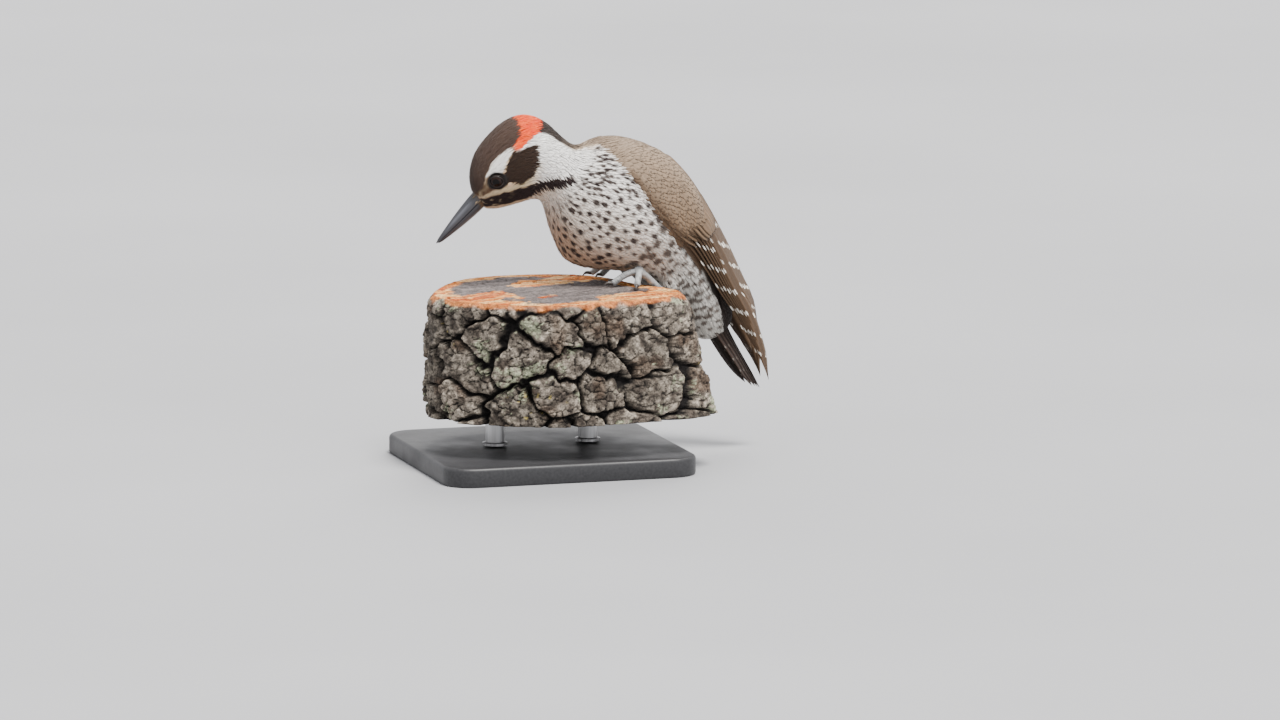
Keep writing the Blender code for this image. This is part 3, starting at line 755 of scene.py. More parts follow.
def march(surface, roots, normals, kinds, lengths, turn, steps):
    """Lines of equal steps along the skin from the roots, following the coat's lie."""
    lines, ups = [roots], [normals]
    step = (lengths / steps)[:, None]
    place, up = roots, normals
    thighs = np.flatnonzero(kinds == THIGH_COAT)
    for _ in range(steps):
        lie = body_flow(place, up)
        lie[thighs] = tangential(THIGH_LIE * xyz(np.sign(place[thighs, 0]), 1, 1), up[thighs])
        sideways = np.cross(up, lie)
        lie = unit(lie * np.cos(turn)[:, None] + sideways * np.sin(turn)[:, None])
        ahead = place + lie * step
        found, found_up = surface.nearest(ahead)
        gap = np.linalg.norm(found - ahead, axis=1, keepdims=True)
        bend = np.minimum(1, 0.3 * step / np.maximum(gap, 1e-9))  # a tuft is too stiff to fold
        place = ahead + (found - ahead) * bend
        up = unit(up + found_up * bend)
        lines.append(place)
        ups.append(up)
    return np.stack(lines, 1), np.stack(ups, 1)


FACE_END, CROWN_END, NECK_END = 21, 40, 57  # how far down the body the coat's regions change
BACK_TURN = 1.25  # how far round from the middle of the back the mantle reaches
REGIONS = (("face", "head"), ("crown", "head"), ("neck", "body"), ("mantle", "body"), ("belly", "body"),
           ("wing", "wing"))
TUFTS_IN_PIECE = 1950


def make_coat(surface, spots, finish, rng):
    """All small feathers: each is rooted in the skin and rises to the coat's outline."""
    roots, normals = surface.scatter(lambda p: coat_sizes(p, coat_kinds(p))[:, 0], rng, 7)
    radius, depth = from_eye(roots)
    kinds = coat_kinds(roots)
    index, distance = wing_nearest(roots)
    under_quills = (WING_STATIONS[index] > COVERTS_END) & (distance < 2.0)
    on_bill = np.linalg.norm(roots - BILL_BASE, axis=1) < BILL_ROOM
    keep = ~((radius < LID_ROOM) & (depth > 0)) & ~under_quills & ~on_bill
    roots, normals, kinds = roots[keep], normals[keep], kinds[keep]
    sizes = coat_sizes(roots, kinds)
    station, _, turn = along_body(roots)
    tests = [kinds == WING_COAT, kinds == THIGH_COAT, station < FACE_END, station < CROWN_END,
             station < NECK_END, np.abs(turn) < BACK_TURN]
    regions = np.select(tests, [5, 4, 0, 1, 2, 3], 4)
    for region, (name, slot) in enumerate(REGIONS):
        chosen = np.flatnonzero(regions == region)
        shares = np.array_split(chosen, 1 + len(chosen) // TUFTS_IN_PIECE)
        for part, rows in enumerate(shares):
            piece = f"coat_{name}" if len(shares) == 1 else f"coat_{name}_{part + 1}"
            smooth = (kinds[rows] == WING_COAT) | (name == "mantle")
            coat = roots[rows], normals[rows], kinds[rows], sizes[rows], smooth
            add_tufts(piece, surface, coat, spots, finish, f"feathers_{slot}", rng)


def add_tufts(name, surface, coat, spots, finish, slot, rng):
    """One piece of the coat; smooth tufts lie closer and are less toothed."""
    roots, normals, kinds, sizes, smooth = coat
    count = len(roots)
    steps = 5 if sizes[:, 1].mean() < 4.4 else 6
    _, lengths, halves, depths = sizes.T
    lengths = lengths * rng.uniform(0.85, 1.15, count)
    halves = halves * rng.uniform(0.85, 1.15, count)
    yaw = rng.normal(0, 1, count) * np.where(smooth, 0.04, 0.09)
    lines, ups = march(surface, roots, normals, kinds, lengths, yaw, steps)
    t = np.linspace(0, 1, steps + 1)
    lift = rng.uniform(-0.12, 0.04, count) * np.where(smooth, 0.4, 1.0)
    low = (depths + 0.12)[:, None]
    heights = -low + (depths + 0.12 + lift * depths)[:, None] * t ** np.where(smooth, 0.3, 0.5)[:, None]
    widths = halves[:, None] * leaf_shape(steps + 1, 0.35, 0.5, 2.2)
    fringe = np.where(smooth, 0.16, 0.42) * rng.uniform(0.7, 1.2, count)
    thick, camber = np.where(smooth, 0.04, 0.08) * halves, np.where(smooth, 0.06, 0.12)
    leaves = Leaves(lines, ups, heights, widths, thick, camber, fringe)
    obj, points, at, across = add_leaves(name, leaves, finish, slot, rng)
    colours, spotted = coat_colours(lines[:, int(0.65 * steps)], kinds)
    shade = rng.uniform(0.9, 1.07, count)[:, None]
    verts = at.shape[1]
    base = np.repeat(colours * shade, verts, axis=0)
    tints = spots.paint(base, points.reshape(-1, 3), np.repeat(spotted, verts))
    # Painted shade: each tuft is darker towards its root, where the tufts over it shade it, and a little
    # lighter towards its sides.
    tints *= (0.86 + 0.16 * at.reshape(-1, 1)) * (1 + 0.05 * np.abs(across.reshape(-1, 1)))
    set_attribute(obj, "tint", tints)
    set_attribute(obj, "vane", xyz(at * lengths[:, None], across * halves[:, None], shade))
    set_tuft_map(obj, roots, at, across)


def coat_colours(points, kinds):
    """The unspotted colour of each tuft by its kind and place, and how far it carries marks."""
    colours, spotted = body_colours(points)
    on_wing = kinds == WING_COAT
    index, _ = wing_nearest(points[on_wing])
    across = WING_ACROSS[index]
    share = smoothstep(0.2, 4.0, WING_STATIONS[index]) * smoothstep(1.1, 0.2, across)
    colours[on_wing] = mix(mix(MANTLE, COVERT, share), QUILL, 0.6 * smoothstep(0.14, 0.0, across))
    worn = np.where(on_wing | (spotted < 0.5), 0.10 * noise(points * (1, 0.6, 0.6), 6, 12), 0)
    colours *= 1 + worn[:, None]
    return colours, np.where(on_wing, 0, spotted)


# ---------------------------------------------------------------- flight feathers and tail
Quill = namedtuple("Quill", "root tip low half tip_start power tint spots shift edge")


def wing_quills():
    """The closed wing's flight feathers from the lowest of the stack to the topmost."""
    quills = []
    for k, tip in enumerate((8.30, 8.80, 9.00, 8.95, 8.72, 8.42, 8.05)):
        tint, spots, shift = QUILL * (0.78 + 0.04 * k), (0.9, 0.35, 0.7)[k % 3], 0.45 + 0.08 * (k % 2)
        quills.append(Quill(2.6, tip, 0.058 * k, 2.8, 0.82, 2.2, tint, spots, shift, 0.6))
    for k, spots in enumerate((0.5, 1.0, 0.9, 0.75, 1.0)):
        tint, tip, low = QUILL * (1.02 + 0.03 * k), 7.50 - 0.10 * k, 0.40 + 0.072 * k
        quills.append(Quill(2.9, tip, low, 3.3, 0.84, 2.6, tint, spots, 0.06 * (k % 2), 0.30))
    for k, (tip, spots) in enumerate(((7.10, 1.0), (6.70, 0.9), (6.15, 0.5))):
        tint, low = mix(QUILL, COVERT, 0.35), 0.72 + 0.062 * k
        quills.append(Quill(3.0, tip, low, 3.7, 0.80, 2.4, tint, spots, 0.05 * k, 0.15))
    return quills


def wing_coverts():
    """Rows of larger coverts that cover the roots of the flight feathers, the lowest row first."""
    rows = [
        (6, 2.4, (4.05, -0.06), (0.00, 0.07), 2.4, 0.70, 2.2, 0.35),
        (9, 2.5, (4.22, 0.02), (0.20, 0.08), 2.9, 0.74, 2.4, 0.75),
        (10, 2.0, (3.72, 0.02), (0.04, 0.09), 2.6, 0.70, 2.4, 1.0),
    ]
    coverts = []
    for count, root, tips, lows, half, tip_start, power, share in rows:
        for k in range(count):
            tip, low = (first + step * k for first, step in (tips, lows))
            tint = mix(QUILL, COVERT, share)
            coverts.append(Quill(root, tip, low, half, tip_start, power, tint, 0.0, 0.0, 0.12))
    return coverts


SPOT_ROWS = 7.0  # how far apart the wing's rows of white spots lie
SPOT_ACROSS = np.array([0.0, 0.34, 0.94])  # the direction the rows follow each other in
FIRST_ROW = 25.4  # how far along it the first row is
VANE_STOPS, TAIL_STOPS = 23, 19


def add_quills(name, quills, side, depths, finish, rng, stands_for=()):
    """Vanes laid on the wing's face; depths say where in its thickness the first and last ones lie."""
    t = np.linspace(0, 1, VANE_STOPS)
    rows = []
    for number, quill in enumerate(quills):
        station = quill.root + (quill.tip - quill.root) * t
        knots = smooth_curve(WING, station)
        chord = np.linalg.norm(knots[:, 3:6] - knots[:, :3], axis=1)
        broad = np.minimum(quill.half, 0.36 * chord + 0.35)
        half = leaf_shape(VANE_STOPS, 0.12, quill.tip_start, quill.power) * broad
        middle = np.clip(quill.low + broad / chord, 0.0, np.maximum(1 - 0.8 * half / chord, 0.5))
        layer = np.interp(number, (0, len(quills) - 1), depths)
        line, up, _ = wing_place(station, middle)
        height = layer * knots[:, 7] - 1.5 * (1 - smoothstep(*QUILLS_RISE, station))
        rows.append((line * (side, 1, 1), up * (side, 1, 1), height, half))
    lines, ups, heights, widths = (np.array(column) for column in zip(*rows))
    leaves = Leaves(lines, ups, heights, widths, thick=0.10, camber=0.02, fringe=0.025)
    obj, points, at, across = add_leaves(name, leaves, finish, "feathers_wing", rng, stands_for)
    columns = (np.array(column)[:, None] for column in zip(*quills))
    root, tip, _, half, _, _, tint, spots, shift, edge = columns
    tint = tint * rng.uniform(0.93, 1.07, (len(quills), 1, 1))
    pale = smoothstep(0.82, 1.0, np.abs(across)) * edge
    shaft = smoothstep(0.12, 0.0, np.abs(across))
    set_attribute(obj, "tint", tint * (1 + pale)[..., None] * (1 - 0.25 * shaft)[..., None])
    lengths = np.linalg.norm(np.diff(lines, axis=1), axis=2).sum(axis=1)
    set_attribute(obj, "vane", xyz(at * lengths[:, None], across * half, 1.0))
    row = (points @ SPOT_ACROSS - FIRST_ROW) / SPOT_ROWS + 0.5 + shift
    shown = smoothstep(3.7, 4.0, root + (tip - root) * at) * smoothstep(0.97, 0.9, at)
    set_attribute(obj, "spot", xyz(row, across, spots * shown))
    set_vane_map(obj, at, across)


def add_tail(finish, rng):
    """Ten stiff pointed feathers in a shallow roof, the middle pair on top."""
    t = np.linspace(0, 1, TAIL_STOPS)
    knots = [(0.0, y, z) for y, z in TAIL_LINE]
    spread = np.linspace(-0.84, 0.84, 10)
    rows = []
    for place in spread:
        share = t * (1.0 - 0.13 * abs(place) ** 1.5)
        line = smooth_curve(knots, share * (len(knots) - 1))
        direction = unit(np.gradient(line, axis=0))
        normal = xyz(0, -direction[:, 2], direction[:, 1])
        half = TAIL_HALF_WIDTH * (0.62 + 0.38 * np.sin(math.pi / 2 * np.minimum(1, 1.6 * share)))
        half = half * (1 - 0.55 * smoothstep(0.45, 1.1, share))
        steep = 8.0 - 4.0 * share
        line = line + normal * (0.35 - steep * place**2)[:, None]
        line[:, 0] += half * place
        up = unit(normal + xyz(2 * steep * place / half, 0, 0))
        width = (2.7 - 0.6 * abs(place)) * leaf_shape(TAIL_STOPS, 0.1, 0.66, 2.4)
        rows.append((line, up, np.full(TAIL_STOPS, -0.75 * abs(place)), width))
    laid = (np.array(column) for column in zip(*rows))
    leaves = Leaves(*laid, thick=0.22, camber=0.10, fringe=0.04)
    obj, _, at, across = add_leaves("tail_feathers", leaves, finish, "feathers_tail", rng, ["tail"])
    tint = TAIL * rng.uniform(0.9, 1.1, (len(spread), 1, 1))
    pale, shaft = smoothstep(0.8, 1, np.abs(across)), smoothstep(0.14, 0.0, np.abs(across))
    set_attribute(obj, "tint", tint * (1 + 0.5 * pale)[..., None] * (1 - 0.6 * shaft)[..., None])
    set_attribute(obj, "vane", xyz(at * 40, across * 2.6, 1.0))
    barred = smoothstep(0.5, 0.8, np.abs(spread))[:, None]
    set_attribute(obj, "spot", xyz(at * 6, across, 0.12 * barred))
    set_vane_map(obj, at, across)


# ---------------------------------------------------------------- skin
def cad_shape(name, swell):
    """A CAD node's points and triangles in millimetres, its doubled points merged, slightly swollen."""
    points, faces = read_mesh(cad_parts[name].data)
    points = points * 1000 - ORIGIN
    _, first, merged = np.unique(np.round(points, 3), axis=0, return_index=True, return_inverse=True)
    faces = merged.reshape(-1)[faces]
    faces = faces[(faces != np.roll(faces, -1, axis=1)).all(axis=1)]
    points = points[first]
    a, b, c = (points[faces[:, k]] for k in range(3))
    return points + vertex_normals(faces, np.cross(b - a, c - a), len(points)) * swell, faces


def arm_shape(side):
    """The flesh of a closed wing: a plate from its bend to where only quills go on."""
    rings = []
    across = np.linspace(0, 1, 12)
    for station in np.linspace(0, ARM_END, 30):
        stations = np.full(len(across), station)
        sunk = smoothstep(*QUILLS_RISE, station)
        lift = 0.25 - 1.4 * sunk
        thick = smooth_curve(WING, [station])[0, 7]
        outer, _, _ = wing_place(stations, across, lift)
        inner, _, _ = wing_place(stations, across, lift - thick - 1.2 + 1.5 * sunk)
        rings.append(np.vstack([outer, inner[::-1]]) * (side, 1, 1))
    points, faces = skinned(rings)
    return points, np.vstack([faces[:, [0, 1, 2]], faces[:, [0, 2, 3]]])


def lid_ring(side, radius, minor):
    """A soft rim of bare skin that hugs the eyeball, a little pointed fore and aft."""
    axis = EYE_AXIS * (side, 1, 1)
    fore = unit(np.cross(axis, (0, 0, 1)))
    upward = np.cross(fore, axis)
    turns = circle(14)
    rings = []
    for a in circle(64):
        middle = radius * (1 - 0.16 * math.sin(a) ** 2 + 0.06 * math.cos(a) ** 8)
        spoke = fore * math.cos(a) + upward * math.sin(a) * 0.94
        thick = minor * (1 + 0.07 * math.sin(23 * a))  # 23 fine creases round the rim
        reach = middle + thick * np.cos(turns)
        rise = math.sqrt(max(0.5, EYE_RADIUS**2 - middle**2)) + 0.04 + 0.8 * thick * np.sin(turns)
        rings.append(EYE * (side, 1, 1) + spoke * reach[:, None] + axis * rise[:, None])
    points = np.array(rings).reshape(-1, 3)
    return points, facing_out(points, grid_faces(len(rings) + 1, len(turns)) % len(points))


FLESH = ["head", "neck", "trunk", "leg_left", "leg_right"]  # the nodes that the skin replaces


def body_surface():
    """The flesh nodes and the arms as one skin, swollen a little to make up for its smoothing."""
    shapes = [cad_shape(name, 0.28) for name in FLESH] + [arm_shape(side) for side in (1, -1)]
    return Surface(*remeshed(*joined(shapes), voxel=0.62, rounds=14))


def add_skin(surface, spots, finish):
    """The bare skin under the coat, one body from the bill's base to the tail's root, with its lids."""
    kinds = coat_kinds(surface.points)
    depth = coat_sizes(surface.points, kinds)[:, 3] * smoothstep(2.8, 6.0, from_eye(surface.points)[0])
    body = surface.points - surface.normals * depth[:, None], surface.faces
    points, faces = joined([body, *(lid_ring(side, *rim) for side in (1, -1) for rim in LID_RIMS)])
    obj = add_piece("skin", points, faces, finish, "feathers_body", FLESH)
    lids = len(points) - len(surface.points)
    colours, spotted = coat_colours(points, np.append(kinds, np.full(lids, BODY_COAT)))
    # Painted shade: the skin takes the coat's colours at three quarters of their brightness, for the shade
    # down under the tufts.
    tints = 0.75 * spots.paint(colours, points, spotted)
    rim_share = smoothstep(3.08, 2.95, from_eye(points[-lids:])[0])
    tints[-lids:] = mix(tints[-lids:], LID, rim_share)
    set_attribute(obj, "tint", tints)
    set_bake_map(obj, unwrap(points))


# ---------------------------------------------------------------- bill, eyes, feet
BILL_LENGTH, BILL_DROOP, BILL_TIP = 24.5, 3.9, (0.6, 0.45)
BILL_BACK, BILL_BELLY = np.array([0, -72.4, 40.2]), np.array([0, -67.2, 32.8])
BILL_RISE = unit(BILL_BACK - BILL_BELLY)
BILL_FORWARD = np.array([0, -BILL_RISE[2], BILL_RISE[1]])
BILL_STEPS, BILL_ARC = 60, 33


def add_bill_half(name, node, upward, base, length, finish):
    """One mandible: a ridge along its outer side, a groove beside the nostril and a chisel tip."""
    turns = np.linspace(0, math.pi, BILL_ARC)
    ridge = np.sin(turns) ** 0.9 * (1 + 0.07 * np.exp(-(((turns - math.pi / 2) / 0.20) ** 2)))
    hollow = np.exp(-(((np.minimum(turns, math.pi - turns) - 0.95) / 0.13) ** 2)) * 0.16
    shares = np.linspace(-0.12, 1, BILL_STEPS)
    rings = []
    for share in shares:
        high, half = np.array(base) * (1 - max(0.0, share) ** 1.5) + BILL_TIP
        middle = (BILL_BACK + BILL_BELLY) / 2 + BILL_FORWARD * (0.3 + length * share)
        middle = middle + BILL_RISE * (upward * 0.08 - BILL_DROOP * share)
        groove = hollow * smoothstep(0.62, 0.05, share) * (upward > 0)
        blunt = 0.55 + 0.45 * smoothstep(1.0, 0.93, share)
        ring = middle + np.outer(np.cos(turns) * half * (1 - groove), (1, 0, 0))
        rings.append(ring + np.outer(ridge * high * (1 - groove) * blunt * upward, BILL_RISE))
    points, faces = skinned(rings)
    obj = add_piece(name, points, faces, finish, "bill", [node])
    share = np.repeat([shares[0], *shares, shares[-1]], BILL_ARC)
    side = np.tile(np.sin(turns), BILL_STEPS + 2)
    set_attribute(obj, "vane", xyz(share * length, points[:, 0], side))
    # Painted highlight: a paler stripe along the middle of each mandible's side.
    pale = smoothstep(0.25, 0.75, side) * smoothstep(0.95, 0.7, side)
    pale = pale * smoothstep(0.05, 0.3, share) * smoothstep(0.9, 0.5, share)
    # Warm brown at the bill's root, and on the lower mandible's underside a painted reflection of warm
    # light.
    warm_and_reflection = 0.5 * smoothstep(0.1, -0.05, share) + 0.35 * (upward < 0) * smoothstep(0.3, 0.9, side)
    set_attribute(obj, "tint", mix(mix(BILL_DARK, BILL_HIGHLIGHT, 0.55 * pale), BILL_WARM_AND_REFLECTION, warm_and_reflection))


def add_bristles(finish, rng):
    """Small stiff feathers that lie forward over the nostrils and round the bill's base."""
    stops, count = 6, 84
    t = np.linspace(0, 1, stops)
    around = rng.uniform(-2.5, 2.5, count)
    length = rng.uniform(2.2, 4.4, count) * np.where(np.abs(around) < 1.6, 1.0, 0.7)
    start = rng.uniform(-1.6, -0.5, count)
    outward = np.outer(np.sin(around), (1, 0, 0)) + np.outer(np.cos(around), BILL_RISE)
    ahead = (start[:, None] + length[:, None] * t) / BILL_LENGTH
    forward = BILL_LENGTH * BILL_FORWARD - BILL_DROOP * BILL_RISE
    clear = np.where(ahead < 0, 3.75, 3.72 - 2.5 * np.maximum(ahead, 0))
    lines = (BILL_BACK + BILL_BELLY) / 2 + ahead[..., None] * forward
    lines = lines + outward[:, None] * clear[..., None]
    heights = np.outer(rng.uniform(0.0, 0.25, count), t) - 0.35 * (1 - t)
    widths = rng.uniform(0.20, 0.32, count)[:, None] * leaf_shape(stops, 0.3, 0.4, 1.4)
    ups = np.repeat(outward[:, None], stops, axis=1)
    leaves = Leaves(lines, ups, heights, widths, thick=0.03, camber=0.3, fringe=0.3)
    obj, _, at, across = add_leaves("coat_bristles", leaves, finish, "feathers_head", rng)
    shade = np.where(np.cos(around) > 0, 0.5, 0.15) * rng.uniform(0.3, 1.0, count)
    # Painted shade: each bristle is darker towards its root.
    set_attribute(obj, "tint", mix(LORE, CHEEK, shade)[:, None] * (0.8 + 0.3 * at)[..., None])
    set_attribute(obj, "vane", xyz(at * 3, across * 0.3, 1.0))
    set_tuft_map(obj, lines[:, 0], at, across)


def add_eyes(finish):
    """Glass eyeballs that bulge a little at the cornea."""
    turns = circle(56)
    rings = []
    for lean in np.linspace(0.02, math.pi - 0.02, 33):
        bulge = 1 + 0.035 * math.exp(-((lean / 0.55) ** 2))
        ring = xyz(np.sin(lean) * np.cos(turns), np.sin(lean) * np.sin(turns), math.cos(lean))
        rings.append(ring * EYE_RADIUS * 0.985 * bulge)
    local, faces = skinned(rings)
    for name, side in SIDES:
        turn = Vector(EYE_AXIS * (side, 1, 1)).to_track_quat("Z", "Y").to_matrix()
        points = local @ np.array(turn).T + EYE * (side, 1, 1)
        obj = add_piece(f"eyeball_{name}", points, faces, finish, "eye", [f"eye_{name}"])
        set_attribute(obj, "vane", local / EYE_RADIUS)


# The left foot's shank as (x, y, z, radius), and its toes' joints and claw tips.
TARSUS = [(13.3, 8.6, -5.6, 1.5), (14.0, 4.4, -2.0, 1.36), (14.6, -0.2, 2.4, 1.36), (15.0, -5.0, 6.3, 1.75)]
FOOT_BALL = (15.0, -5.0, 6.3)
BALL_SECTIONS = ((-1.9, 0.7), (-0.8, 1.8), (0.8, 1.8), (1.9, 0.7))  # how far along it, and its radius
Toe = namedtuple("Toe", "name joints claw")
TOES = [
    Toe("hallux", [(11.8, -4.2, 3.6), (9.0, -3.4, 1.75)], (6.4, -2.6, 0.5)),
    Toe("inner", [(12.2, -9.2, 4.6), (10.2, -13.2, 1.85)], (8.4, -17.0, 0.5)),
    Toe("middle", [(15.2, -10.6, 5.0), (15.4, -15.8, 1.85)], (15.6, -20.4, 0.5)),
    Toe("outer", [(19.6, -6.6, 4.6), (23.6, -8.4, 1.85)], (27.6, -10.2, 0.5)),
]
TOE_RADIUS, TOE_TIP = 1.3, 0.7
SCUTE_LENGTH = 0.95


def limb(joints, sides, steps, scutes=0.0):
    """A round limb along (x, y, z, radius), with overlapping scutes across its upper side."""
    line = smooth_curve(joints, np.linspace(0, len(joints) - 1, steps))
    centres, radii = line[:, :3], line[:, 3]
    along = unit(np.gradient(centres, axis=0))
    travelled = np.insert(np.cumsum(np.linalg.norm(np.diff(centres, axis=0), axis=1)), 0, 0)
    turns = circle(sides)
    rings = []
    for centre, forward, radius, far in zip(centres, along, radii, travelled):
        side = unit(np.cross(forward, (0.0, 0.3, 1.0)))
        up = np.cross(side, forward)
        saw = (far / SCUTE_LENGTH) % 1.0
        front = smoothstep(-0.3, 0.5, np.sin(turns) * np.sign(up[2] + 1e-6))
        reach = radius * (1 + scutes * (saw - 0.5) * (0.35 + 0.65 * front))
        rings.append(centre + reach[:, None] * (np.outer(np.cos(turns), side) + np.outer(np.sin(turns), up)))
    return np.array(rings)


def toe_end(toe):
    root, before = np.array(toe.joints[-1]), np.array(toe.joints[0])
    return root, unit(root - before)


def add_foot(name, side, skin, horn):
    """A scaled foot: shank, ball and four toes in one skin, and its four claws."""
    flip = np.array([side, 1, 1])
    x, y, z = FOOT_BALL
    ball = [(x, y + far, z - 0.4 * far, radius) for far, radius in BALL_SECTIONS]
    shapes = [skinned(limb(TARSUS, 28, 90, 0.18)), skinned(limb(ball, 24, 16))]
    for toe in TOES:
        root, heading = toe_end(toe)
        places = [FOOT_BALL, *toe.joints, root + heading * (TOE_TIP + 0.3)]
        radii = (TOE_RADIUS * 1.12, TOE_RADIUS, TOE_RADIUS * 0.95, TOE_RADIUS * 0.66)
        shapes.append(skinned(limb([(*p, r) for p, r in zip(places, radii)], 24, 70, 0.22)))
        add_claw(f"talon_{toe.name}_{name}", f"claw_{toe.name}_{name}", toe, flip, horn)
    points, faces = remeshed(*joined(shapes), voxel=0.15, rounds=1)
    obj = add_piece(f"foot_skin_{name}", points * flip, faces[:, ::side], skin, "leg_skin", [f"foot_{name}"])
    set_attribute(obj, "tint", mix(FOOT_DARK, FOOT_PALE, 0.5 + 0.5 * noise(points, 1.3, 21)))


def add_claw(name, node, toe, flip, horn):
    """A claw that hooks down from its toe to a sharp point."""
    root, heading = toe_end(toe)
    tip, level = np.array(toe.claw), heading * (1, 1, 0)
    start = root + heading * (TOE_TIP - 0.15)
    crest = (start + tip) / 2 + level * 0.5 + np.array([0, 0, 0.7])
    points, faces = skinned(limb([(*start, 0.80), (*crest, 0.60), (*tip, 0.06)], 20, 26) * flip)
    add_piece(name, points, faces, horn, "claw", [node])


# ---------------------------------------------------------------- log
LOG_HEIGHT = node_box("perch")[1][2] - node_box("perch")[0][2]
LOG_RADIUS = 48.0
LOG_SIDES = 520
BUTTRESS_TURN = math.radians(66)
PLATE, SMALL_PLATE = (20.0, 16.0, 61), (4.6, 3.6, 71)  # the bark's plates: width, height and seed


def log_outline(turn):
    """The log's radius at an angle from +X: a little lobed, with a buttress under the tail."""
    lobes = 0.03 * np.cos(3 * turn - 2.4) + 0.02 * np.cos(5 * turn + 0.6)
    return LOG_RADIUS * (0.99 + lobes + 0.25 * np.exp(-(((turn - BUTTRESS_TURN) / 0.36) ** 2)))


def log_furrows(turn, drop):
    """How deep the long upright and the shorter cross furrows go."""
    upright = np.abs(np.sin(7.5 * turn + 0.4 * np.sin(0.13 * drop + 2 * turn)))
    cross = np.abs(np.sin(0.19 * drop + 1.7 * np.sin(5 * turn) + turn))
    return 3.0 * (np.maximum(0, 1 - upright / 0.55) + 0.6 * np.maximum(0, 1 - cross / 0.4))


def bark_cells(turn, drop, wide, tall, seed):
    """Bark plates about wide by tall: how far a place is from its plate's edge, 0 in the crack
    between two plates, and the plate's own number from -1 to 1."""
    around = round(math.tau * LOG_RADIUS / wide)
    place = xyz(LOG_RADIUS * np.cos(turn), LOG_RADIUS * np.sin(turn), drop)

    def wander(first_seed):
        return 0.22 * noise(place, 0.5 * wide, first_seed), 0.10 * noise(place, 0.15 * wide, first_seed + 1)

    (u_wide, u_fine), (v_wide, v_fine) = wander(seed), wander(seed + 2)
    u = turn / math.tau * around + u_wide + u_fine
    v = drop / tall + v_wide + v_fine
    first, second, number = np.full(u.shape, 9.0), np.full(u.shape, 9.0), np.zeros(u.shape)
    for du, dv in itertools.product((-1, 0, 1), repeat=2):
        cu, cv = np.floor(u).astype(np.int64) + du, np.floor(v).astype(np.int64) + dv
        cell = xyz(cu % around, cv, 0)
        to_u, to_v = cu + 0.5 + 0.42 * lattice(cell, seed) - u, cv + 0.5 + 0.42 * lattice(cell, seed + 1) - v
        away = np.hypot(to_u, to_v)
        nearer = away < first
        second = np.where(nearer, first, np.minimum(second, away))
        number = np.where(nearer, lattice(cell, seed + 2), number)
        first = np.where(nearer, away, first)
    return second - first, number


def add_log(finish):
    """The cut log: a sawn top with a torn rim, and bark in thick plates."""
    turns = circle(LOG_SIDES)
    outline = log_outline(turns)
    # marks: each point's place on the top or down the bark, how far it lies in a crack or furrow (for its
    # painted shade), and its bark plate's number.
    rows, marks = [], []
    for share in np.linspace(0.02, 1, 56) ** 0.85:
        reach = (outline - 3.6) * share
        flat = xyz(reach * np.cos(turns), reach * np.sin(turns), 0.0)
        edge = smoothstep(0.60, 1.0, share + 0.06 * noise(flat, 7, 31))
        fibres = xyz(flat[:, 0] * 0.9, turns * 6 + flat[:, 1] * 0.1, 0.0)
        torn = edge * (0.35 + 0.45 * noise(fibres, 1.3, 33) + 0.35 * noise(flat, 3.5, 32))
        cracks = 1 - np.abs(noise(flat + 1.5 * noise(flat, 3, 35)[:, None], 11, 36)) * 2.2
        cracks = smoothstep(0.90, 1.0, cracks)
        drop = 0.08 + 0.10 * noise(flat, 2.0, 34) + np.maximum(0, torn) * 0.9 + cracks * 0.7
        rows.append(flat - np.outer(np.maximum(0.02, drop), (0, 0, 1)))
        marks.append(xyz(share, cracks, 0.0))
    for drop in np.concatenate([np.linspace(0.2, 4.0, 14), np.linspace(4.4, LOG_HEIGHT, 120)]):
        inset = np.interp(drop, (0, 1.6, 3.6, LOG_HEIGHT), (3.6, 1.7, 0.5, 0.8))
        flare = (0.04 + 0.22 * np.exp(-(((turns - BUTTRESS_TURN) / 0.6) ** 2))) * max(0.0, drop - 3)
        level = np.full(LOG_SIDES, drop)
        place = xyz(LOG_RADIUS * np.cos(turns), LOG_RADIUS * np.sin(turns), level)
        gap, number = bark_cells(turns, level, *PLATE)
        small_gap, small_number = bark_cells(turns, level, *SMALL_PLATE)
        furrow = smoothstep(0.16, 0.02, gap)
        crack = smoothstep(0.20, 0.03, small_gap) * (0.4 + 0.6 * smoothstep(-0.5, 0.4, small_number))
        rough = 3.4 * furrow + 0.35 * log_furrows(turns, level) + 0.7 * crack
        relief = 0.9 * number + 0.35 * small_number
        relief = relief + 0.35 * noise(place, 2.6, 46) + 0.22 * noise(place, 0.9, 47)
        grown = smoothstep(0.5, 7.0, drop)
        reach = outline + flare - inset - rough * grown + relief * (0.15 + 0.85 * grown) + 0.3 * grown
        rows.append(xyz(reach * np.cos(turns), reach * np.sin(turns), -level))
        marks.append(xyz(1 + level, np.maximum(furrow, 0.75 * crack), number))
    points, faces = skinned(np.array(rows) + np.array([*LOG_CENTRE, 0]))
    marks = np.vstack([marks[0], *marks, marks[-1]])
    obj = add_piece("log", points, faces, finish, "trunk_wood", ["perch"])
    set_attribute(obj, "tint", log_colours(points, marks))
    set_attribute(obj, "vane", xyz(smoothstep(1.0, 4.0, marks[:, 0]), 0, 0))


